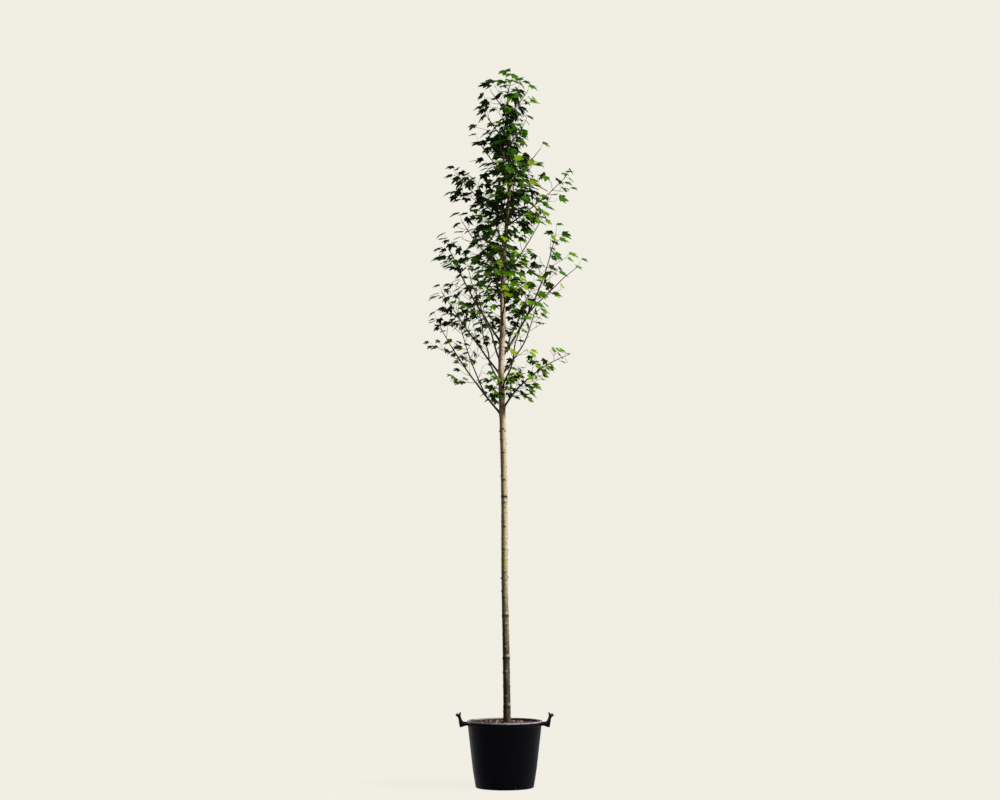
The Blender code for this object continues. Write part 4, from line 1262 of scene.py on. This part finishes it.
# %% Grow the twigs
TWIGS = []
for stem in STEMS:
    path = stem["path"][:-2]
    total = path_length(path)
    vigour = min(1.0, max(LEAST_VIGOUR, total / FULL_STEM))
    if stem["node"] == "leaves_leader":
        vigour = LEADER_VIGOUR
    stem["vigour"] = vigour
    rng = random.Random(stem["node"] + " twigs")
    fine = random.Random(stem["node"] + " fine")
    count = max(2, round(total / (NODE_STEP * vigour)))
    turn = rng.uniform(0.0, math.pi)
    for i in range(count):
        share = (i + 0.75) / (count + 0.35)
        for side in (0, 1):
            swing = rng.uniform(-0.3, 0.3)
            size = rng.uniform(0.85, 1.15)
            rise = rng.uniform(0.45, 0.75)
            centre, along = at_length(path, total * share)
            quarter = turn + math.pi / 2.0 * (i // 2) + math.pi * side + swing
            if i % 2 == 1:
                length = fine.uniform(*SHORT_SHOOT) * vigour
                out = across(along, quarter + math.pi / 2.0)
            else:
                length = SIDE_TWIG * (1.05 - 0.62 * share) * size + 0.020
                out = across(along, quarter)
            way = (out + along * rise + UP * 0.12).normalized()
            grow_twig(centre, way, length, fine, f"{stem['node']} {i} {side}", TWIG, vigour)
for height, azimuth, length in LOW_SHOOTS:
    way = heading(math.radians(azimuth), math.radians(62))
    spray = f"shoot {height}"
    start = trunk_point(height) + way * 0.012
    grow_twig(start, way, length, random.Random(spray), spray, TWIG, SHOOT_VIGOUR)
print("twigs:", len(TWIGS))

# %% [markdown]
# ## One leaf
#
# A red maple leaf is about as wide as it is long: a long middle lobe, two shorter ones that point
# forward, two small ones at the base, and uneven teeth. All its veins start where the stalk meets it,
# so polar coordinates about that point suit it well: one row of angles and radii gives half the
# outline. An inner ring of points lets the blade fold along its midrib, pleat between its veins and
# droop at its tips. A few different curls are enough, because each leaf is turned and sized anew.

# %% The leaf's outline and curls
LEAF_HALF = (
    # angle off the midrib, radius
    (0, 1.00),
    (9, 0.80),
    (13, 0.76),
    (24, 0.52),
    (33, 0.66),
    (40, 0.83),
    (47, 0.65),
    (54, 0.60),
    (65, 0.41),
    (86, 0.48),
    (102, 0.34),
    (130, 0.20),
    (158, 0.10),
)
VEINS = (0.0, 40.0, 88.0)
INNER_RING = 0.55
FOLDS, DROOPS, PLEATS = (0.02, 0.26), (0.0, 0.20), (0.03, 0.08)
CURL_COUNT = 8


def leaf_shape(rng, fold, droop, pleat):
    """Corners and triangles of a blade one unit long, its stalk at the origin, pointing along X."""
    outline = [*LEAF_HALF, (180, 0.05), *((-angle, radius) for angle, radius in LEAF_HALF[:0:-1])]
    inner, outer = [], []
    for angle, radius in outline:
        radius *= rng.uniform(0.95, 1.06)
        from_vein = min(abs(abs(angle) - vein) for vein in VEINS)
        ridge = pleat * min(from_vein / 20.0, 1.0)
        for share, store in ((INNER_RING, inner), (1.0, outer)):
            r = radius * share
            x, y = r * math.cos(math.radians(angle)), r * math.sin(math.radians(angle))
            z = fold * abs(y) - droop * r * r + ridge * share * 0.6
            store.append((x, y, z))
    count = len(outline)
    corners = [(0.0, 0.0, 0.0)] + inner + outer
    faces = []
    for k in range(count):
        n = (k + 1) % count
        faces.append((0, 1 + n, 1 + k))
        faces.append((1 + k, 1 + n, 1 + count + n))
        faces.append((1 + k, 1 + count + n, 1 + count + k))
    return np.array(corners), np.array(faces)


curl_rng = random.Random("curls")
CURLS = [
    leaf_shape(curl_rng, *[curl_rng.uniform(*limits) for limits in (FOLDS, DROOPS, PLEATS)])
    for _ in range(CURL_COUNT)
]
print("triangles in a leaf:", len(CURLS[0][1]))

# %% [markdown]
# ## Where leaves hang
#
# Leaves stand in opposite pairs on every twig, each pair a quarter turn on, with one more at the tip.
# Each hangs on a stalk about two thirds as long as the blade. The blade points on the way its stalk
# goes and a little outwards, droops from there, most in the crown's top, and turns its face to the
# light, which comes from above, from outside the crown and from the sunny side. The lowest sprays stand
# free and face the light more. This habit gives a maple its layered look.
#
# A leaf that would leave the crown's reach or cross a limb tries another way and is then left out. So
# is one that would close a gap in the crown, or hide or shade the bare stretch of the trunk. A table
# says how full the crown is at each height, and a leaf at the very tip of a stem always stays.

# %% Sizes of the foliage
LEAF_SIZE = (0.040, 0.061)  # the smallest and the largest
STALK = (0.024, 0.048)
PAIR_STEP = 0.036
FIRST_LEAF = {TWIG: 0.022, TWIGLET: 0.014}
OVERHANG = 0.025
LEAF_ROOM = 0.003
SUNNY = Vector((0.78, -0.34, 0.55)).normalized()
OPEN_SIDE = Vector((0.10, -0.75, 0.0))
FULLNESS = (
    # height, then the share of leaves kept: left edge, left, middle, right, right edge
    (2.15, 0.90, 0.90, 1.15, 1.40, 0.95),
    (2.25, 0.66, 0.42, 0.80, 1.25, 0.95),
    (2.38, 0.42, 0.36, 0.24, 0.46, 0.36),
    (2.52, 0.26, 0.08, 0.14, 0.11, 0.58),
    (2.62, 0.27, 0.17, 0.16, 0.10, 0.36),
    (2.75, 0.40, 0.29, 0.68, 0.25, 0.44),
    (2.88, 0.30, 0.27, 0.30, 0.17, 0.03),
    (2.99, 1.00, 0.18, 0.22, 0.18, 0.05),
    (3.12, 0.16, 0.28, 0.20, 0.36, 0.34),
    (3.22, 0.24, 0.34, 0.31, 0.32, 0.09),
    (3.34, 1.00, 0.52, 0.38, 0.36, 0.08),
    (3.46, 1.00, 0.38, 0.46, 0.48, 0.14),
    (3.58, 0.50, 0.62, 0.36, 0.26, 0.31),
    (3.67, 0.07, 0.26, 0.62, 0.18, 0.04),
    (3.76, 0.07, 0.26, 0.62, 0.19, 0.02),
    (3.90, 0.40, 0.16, 0.33, 0.16, 0.07),
    (3.98, 0.16, 0.15, 0.23, 0.17, 0.36),
    (4.06, 0.10, 0.12, 0.22, 0.21, 0.85),
)
SKY = (
    # left, right, bottom and top of the gaps that stay open from the front
    (0.185, 0.270, 3.02, 3.22),
    (0.145, 0.262, 2.48, 2.62),
    (0.262, 0.360, 2.585, 2.68),
    (-0.115, -0.020, 3.86, 3.93),
    (0.145, 0.300, 3.66, 3.80),
    (-0.300, -0.145, 3.665, 3.740),
)
EDGE = 0.85  # where the table's outer columns hold, as a share of the crown's reach
BARE_TRUNK = (2.38, 2.74, 0.026)  # bottom, top, half its width
LIGHT_WAY = Vector((0.86, -0.31, 0.62))  # where the key light stands


# %% How full the crown is, and how large its leaves are
def fullness(spot):
    """The share of leaves kept at a place: a table, made clumpy by a soft noise."""
    here = trunk_beside(spot)
    out = (spot.x - here.x) / crown_reach(spot.z, 0.0 if spot.x > here.x else math.pi)
    kept = [read_rows(FULLNESS, spot.z, column) for column in range(1, 6)]
    place = min(max((out + EDGE) / (EDGE / 2.0), 0.0), 3.999)
    column = int(place)
    share = kept[column] + (kept[column + 1] - kept[column]) * (place - column)
    return share * (1.0 + 0.9 * noise.noise(spot * 9.0))


def share_of(value, start, reach):
    """0 up to a start, and from there evenly up to 1."""
    return min(max((value - start) / reach, 0.0), 1.0)


def highness(spot):
    """1 in the crown's top, whose leaves are the largest and hang the most, and 0 below it."""
    return share_of(spot.z, 3.60, 0.35)


def leaf_growth(spot):
    """How large leaves grow at a place: largest at the top, smallest low in the shade."""
    low = 1.0 - share_of(spot.z, 2.55, 0.45)
    left = share_of(trunk_point(spot.z).x - spot.x, 0.04, 0.08)
    return 1.0 + 0.34 * highness(spot) - low * (0.10 + 0.18 * left)


def open_sky(point):
    """Whether a place lies in one of the gaps, or hides or shades the bare front of the trunk."""
    for left, right, bottom, top in SKY:
        if left < point.x < right and bottom < point.z < top:
            return True
    bottom, top, half = BARE_TRUNK
    here = trunk_beside(point)
    if bottom < point.z < top and abs(point.x - here.x) < half and point.y < here.y:
        return True
    shaded = point - LIGHT_WAY * ((point.x - here.x) / LIGHT_WAY.x)
    return point.x > here.x and bottom < shaded.z < top and abs(shaded.y - here.y) < half


# %% Places for leaves along twigs and stems
def leaf_sites():
    """Root, way out, way along, spray, vigour, twig and distance on it of every leaf that might be.

    On a stem there is no twig, and the distance is a share of the stem.
    """
    sites = []
    for number, twig in enumerate(TWIGS):
        rng = random.Random(f"leaves {number}")
        path, vigour, spray = twig["path"], twig["vigour"], twig["spray"]
        total = path_length(path)
        first = FIRST_LEAF[twig["order"]]
        count = max(1, round((total - first) / (PAIR_STEP * vigour)))
        turn = rng.uniform(-0.4, 0.4)
        for pair in range(count):
            distance = first + (total - first) * (pair + 0.6) / count
            if distance > total:
                break
            start, along = at_length(path, distance)
            for side in (0, 1):
                quarter = turn + math.pi / 2.0 * (pair % 2) + math.pi * side
                out = across(along, quarter + rng.uniform(-0.3, 0.3))
                sites.append((start, out, along, spray, vigour, number, distance))
        way = (path[-1] - path[-2]).normalized()
        sites.append((path[-1], way, UP * 0.1, spray, vigour * 1.05, number, total))
    for stem in STEMS:
        rng = random.Random(stem["node"] + " stem leaves")
        total = path_length(stem["path"])
        count = max(3, round(total / (NODE_STEP * 0.8)))
        turn = rng.uniform(0.0, math.pi)
        for pair in range(count):
            distance = total * (pair + 0.4) / count
            start, along = at_length(stem["path"], distance)
            for side in (0, 1):
                out = across(along, turn + math.pi / 2.0 * (pair % 2) + math.pi * side)
                spray = f"{stem['node']} stem {pair // 3}"
                sites.append((start, out, along, spray, stem["vigour"], None, distance / total))
        tip = stem["path"][-1]
        way = (tip - stem["path"][-2]).normalized()
        sites.append((tip, way, UP * 0.1, f"{stem['node']} tip", stem["vigour"] * 1.1, None, 1.0))
    return sites


SITES = leaf_sites()
print("places for leaves:", len(SITES))

# %% [markdown]
# ### Keeping clear of the wood
#
# A blade that cuts through the trunk looks wrong from close by. Testing every leaf against every limb
# would be slow, but all limbs are now lists of close points with a radius, and a KD tree finds the
# nearest of them at once.

# %% Nearest wood
TRUNK_POINT_STEP = 0.006
for step in range(math.ceil((TRUNK_TOP - TRUNK_FOOT) / TRUNK_POINT_STEP)):
    height = TRUNK_FOOT + TRUNK_POINT_STEP * step
    LIMB_POINTS.append((trunk_point(height), smooth_rows(TRUNK_GIRTHS, height, 1)))
wood = KDTree(len(LIMB_POINTS))
for i, (point, radius) in enumerate(LIMB_POINTS):
    wood.insert(point, i)
wood.balance()


def clear_of_wood(point, room):
    """Whether a point keeps this far from the nearest limb."""
    _, i, distance = wood.find(point)
    return distance > LIMB_POINTS[i][1] + room


# %% Hang the leaves
def lowness(spot):
    """1 on the lowest sprays, which stand out of the crown's shade, and 0 above them."""
    return min(max((2.64 - spot.z) / 0.14, 0.0), 1.0)


# the places on a blade that are tested: its tip, its side lobes and its middle
PROBES = [Vector(p) for p in ((1.0, 0.0, -0.15), (0.62, 0.5, 0.0), (0.62, -0.5, 0.0), (0.3, 0.0, 0.0))]
SWINGS = (0.0, 0.5, -0.5, 0.0, 0.9, -0.9, 0.0)
SMALLER_AFTER = (2, 5)
TIP_SHARE, TOP_TIP_SHARE, TOP_FROM = 0.84, 0.93, 3.60


def hang(site, rng, at_stem_tip):
    """A leaf's stalk and blade: (stalk's points, blade's matrix), or None if it finds no room."""
    root, out, along, _, vigour = site[:5]
    size = rng.uniform(*LEAF_SIZE) * vigour * leaf_growth(root)
    stalk = rng.uniform(*STALK) * vigour
    low = lowness(root)
    for trial, swing in enumerate(SWINGS):
        way = Matrix.Rotation(swing, 3, UP) @ out
        way = (way + along * 0.55 + UP * rng.uniform(0.05, 0.45)).normalized()
        hold = root + way * stalk * 0.55 + UP * 0.004
        foot = root + way * stalk - UP * stalk * 0.10
        centre = trunk_beside(foot)
        outward = Vector((foot.x - centre.x, foot.y - centre.y, 0.0))
        outward = outward / max(outward.length, 0.05)
        face = UP * 0.95 + outward * 0.42 * (1.0 - low) + SUNNY * (0.22 + 0.55 * low)
        face += OPEN_SIDE * max(outward.x, 0.7 * low)
        face += any_way(rng) * 0.50
        point = Vector((way.x, way.y, 0.0)).normalized() + outward * 0.35
        point -= UP * rng.uniform(0.1, 0.8) * (1.0 + 0.7 * highness(root))
        x = point.normalized()
        face = (face - x * face.dot(x)).normalized()
        y = face.cross(x)
        turn = Matrix((x, y, face)).transposed().to_4x4()
        matrix = Matrix.Translation(foot) @ turn @ Matrix.Scale(size, 4)
        probes = [matrix @ p for p in PROBES]
        if at_stem_tip:
            inside = all(within(p, -OVERHANG * 2.2) for p in probes)
        else:
            inside = all(within(p, -OVERHANG) and not open_sky(p) for p in probes)
        if inside and all(clear_of_wood(p, LEAF_ROOM) for p in probes):
            return (root, hold, foot), matrix
        if trial in SMALLER_AFTER:
            size *= 0.90
            stalk *= 0.80
    return None


LEAVES = []
LEAFY_LENGTH = [0.0] * len(TWIGS)
for number, site in enumerate(SITES):
    root, _, _, spray, _, twig, distance = site
    rng = random.Random(f"leaf {number}")
    at_stem_tip = twig is None and distance > (TIP_SHARE if root.z < TOP_FROM else TOP_TIP_SHARE)
    if rng.random() > fullness(root) and not at_stem_tip:
        continue
    hung = hang(site, rng, at_stem_tip)
    if hung:
        LEAVES.append((*hung, spray, rng.randrange(len(CURLS))))
        if twig is not None:
            LEAFY_LENGTH[twig] = max(LEAFY_LENGTH[twig], distance)
print("leaves:", len(LEAVES), "left out:", len(SITES) - len(LEAVES))

# %% [markdown]
# ### The twigs' mesh
#
# A twig ends in its last leaves: where some were left out, the bare end goes too, or it would stick
# out of the crown. Twigs are only a pixel or two wide from a few steps away, so five sides are plenty.
# Young maple wood is red brown, with a bud at each tip, so the last rings draw in to a blunt point.

# %% Mesh and bark of the twigs
BARE_TIP = 0.004
BUD = 0.005
TWIG_SIDES = 5
for number in range(len(TWIGS) - 1, -1, -1):
    parent = TWIGS[number]["parent"]
    if parent is not None and LEAFY_LENGTH[number] > 0.0:
        fork = path_length(TWIGS[parent]["path"]) * TWIGLET_PLACE
        LEAFY_LENGTH[parent] = max(LEAFY_LENGTH[parent], fork)
twigs = Heap()
for twig, leafy in zip(TWIGS, LEAFY_LENGTH):
    if leafy == 0.0:
        continue
    end = min(leafy + BARE_TIP, path_length(twig["path"]))
    path = [at_length(twig["path"], end * share)[0] for share in (0.0, 0.25, 0.5, 0.75, 1.0)]
    path.append(path[-1] + (path[-1] - path[-2]).normalized() * BUD)
    radii = [twig["foot"] * (1.0 - 0.1 * k) for k in range(4)] + [TWIG_TIP, TWIG_TIP * 0.35]
    add_tube(twigs, path, radii, TWIG_SIDES)
TWIG_BARK = bark(
    "twig_bark",
    roughness=0.62,
    bump=0.0002,
    low=(0.060, 0.034, 0.020),
    middle=(0.060, 0.034, 0.020),
    upper_painted_light=(0.060, 0.034, 0.020),
    high=(0.062, 0.036, 0.022),
    pale=(0.150, 0.100, 0.065),
    dark=(0.035, 0.020, 0.013),
    moss=(0.080, 0.060, 0.025),
)
masses = sorted(s["node"] for s in STEMS)
stand("twigs", twigs.mesh("twigs"), TWIG_BARK, masses, 60.0)

# %% [markdown]
# ## Four greens
#
# No two sprays are the same age or get the same light, and their greens differ. A texture across the
# whole crown would be lost when it is exported, so every spray is dealt one of four plain tints. The
# chance of a fresh tint grows towards the sunny side and on the lowest sprays, and fades in the top.
# So the two paler tints are partly painted sunlight, and the deep one partly painted shade in the dense
# top of the crown. Each tint is one joined mesh.

# %% Tints dealt out by spray
TINTS = (
    # name, colour, chance on the shaded side, chance on the sunny side
    # the two paler tints stand partly for painted sunlight, the deep one partly for painted shade
    ("leaves_deep", (0.013, 0.042, 0.001), 0.46, 0.27),
    ("leaves_mid", (0.038, 0.124, 0.001), 0.38, 0.33),
    ("leaves_fresh", (0.104, 0.226, 0.002), 0.15, 0.29),
    ("leaves_young", (0.180, 0.295, 0.005), 0.01, 0.13),
)


def tint_of(spray, spot):
    """The tint that a spray is dealt: one draw, seeded by its name."""
    rng = random.Random(spray + " tint")
    # painted light and shade: the draw leans paler where the sun falls on the crown and on the lowest
    # sprays, and deeper in the shaded top
    sun = (spot - trunk_beside(spot)).to_2d().dot(SUNNY.to_2d().normalized()) / 0.30
    sunny = min(max(0.38 + 0.62 * sun, 0.9 * lowness(spot), 0.0), 1.0)
    sunny *= 1.0 - share_of(spot.z, 3.40, 0.20)
    draw = rng.random()
    for name, _, shaded, lit in TINTS:
        draw -= shaded + (lit - shaded) * sunny
        if draw <= 0.0:
            return name
    return TINTS[0][0]


# %% Join the leaves of each tint
STALK_RADII = (0.0009, 0.0007, 0.0006)
STALK_SIDES = 3
STALK_RED = (0.110, 0.060, 0.022)


def leaf_surface(name, colour):
    """A waxy leaf of one plain green, whose gloss is a little mottled."""
    made, tree, shader = new_surface(name, colour, 0.55, 0.03)
    mottle = speckle(tree, 55.0)
    tree.links.new(span(tree, mottle, 0.3, 0.7, 0.42, 0.58), shader.inputs["Roughness"])
    relief(tree, shader, mottle, 0.0008)
    return made


SPRAY_TINTS = {}
blades = {name: Heap() for name, *_ in TINTS}
stalks = Heap()
for (root, hold, foot), matrix, spray, curl in LEAVES:
    tint = SPRAY_TINTS.setdefault(spray, tint_of(spray, foot))
    shape, faces = CURLS[curl]
    turned = np.array(matrix.to_3x3()) @ shape.T
    blades[tint].add(turned.T + np.array(matrix.translation), faces)
    add_tube(stalks, [root, hold, foot + (foot - hold) * 0.06], STALK_RADII, STALK_SIDES)
for name, colour, _, _ in TINTS:
    stand(name, blades[name].mesh(name), leaf_surface(name, colour), masses, 75.0)
stalk_skin, _, _ = new_surface("leaf_stalk", STALK_RED, 0.55)
stand("leaf_stalks", stalks.mesh("leaf_stalks"), stalk_skin, masses, 75.0)

# %% [markdown]
# ## The set
#
# A plain pale floor, a large soft light from the upper right, and a little light from all round. The
# key light is a Sun with a wide angle, so the floor stays even out to the horizon and meets a background
# of the same tone. A second, weaker and wider Sun from the back left draws the left edges of the tub
# and the trunk. The world has three strengths: a weak fill that keeps the shaded side of the crown
# dark, a middle one that shows in the gloss, and the tone of paper for the lens. The floor throws no
# light back, and most of its tone is its own glow, which leaves the tree's shadow barely visible.

# %% The floor
PAPER = (0.879, 0.855, 0.768)
FLOOR_TONE = (0.034, 0.0332, 0.0300)
FLOOR_GLOW = 0.96
FLOOR_REACH = 300.0
floor_mesh = bpy.data.meshes.new("floor")
floor_corners = [(x * FLOOR_REACH, y * FLOOR_REACH, 0) for x, y in ((-1, -1), (1, -1), (1, 1), (-1, 1))]
floor_mesh.from_pydata(floor_corners, [], [(0, 1, 2, 3)])
floor = placed("floor", floor_mesh)
floor_paint, _, glow = new_surface("floor_paint", FLOOR_TONE, 0.9, 0.0)
glow.inputs["Emission Color"].default_value = (*PAPER, 1.0)
glow.inputs["Emission Strength"].default_value = FLOOR_GLOW
floor_mesh.materials.append(floor_paint)
floor.visible_diffuse = False
floor.visible_glossy = False

# %% The world
WARM = (1.0, 0.985, 0.95)
WORLD = (
    # which rays see it, colour, strength
    (None, WARM, 0.10),
    ("Is Glossy Ray", (0.96, 0.95, 1.0), 0.46),
    ("Is Camera Ray", PAPER, 1.0),
)
world = bpy.data.worlds.new("studio")
bpy.context.scene.world = world
world.use_nodes = True
nodes, links = world.node_tree.nodes, world.node_tree.links
nodes.clear()
output = nodes.new("ShaderNodeOutputWorld")
path_kind = nodes.new("ShaderNodeLightPath")
shown = None
for kind, colour, strength in WORLD:
    sky = nodes.new("ShaderNodeBackground")
    sky.inputs["Color"].default_value = (*colour, 1.0)
    sky.inputs["Strength"].default_value = strength
    if shown:
        mix = nodes.new("ShaderNodeMixShader")
        links.new(path_kind.outputs[kind], mix.inputs["Fac"])
        links.new(shown, mix.inputs[1])
        links.new(sky.outputs["Background"], mix.inputs[2])
        shown = mix.outputs["Shader"]
    else:
        shown = sky.outputs["Background"]
links.new(shown, output.inputs["Surface"])


# %% Two Suns
def add_sun(name, energy, spread, colour, way):
    """A Sun that stands towards a way. The spread is how wide it looks, in degrees."""
    lamp = bpy.data.lights.new(name, "SUN")
    lamp.energy = energy
    lamp.angle = math.radians(spread)
    lamp.color = colour
    placed(name, lamp).rotation_euler = way.to_track_quat("Z", "Y").to_euler()


add_sun("key", 5.2, 16.0, WARM, LIGHT_WAY)
add_sun("rim", 1.1, 40.0, (0.95, 0.97, 1.0), Vector((-0.62, 0.76, 0.22)))

# %% The camera
camera_data = bpy.data.cameras.new("camera")
camera_data.lens = 62.06
camera_data.sensor_width = 36.0
camera_data.clip_end = 1000.0
camera = placed("camera", camera_data)
camera.location = (-0.0268, -10.0, 1.15)
camera.rotation_euler = (math.radians(96.1), 0.0, 0.0)
bpy.context.scene.camera = camera
bpy.context.scene.view_settings.view_transform = "Standard"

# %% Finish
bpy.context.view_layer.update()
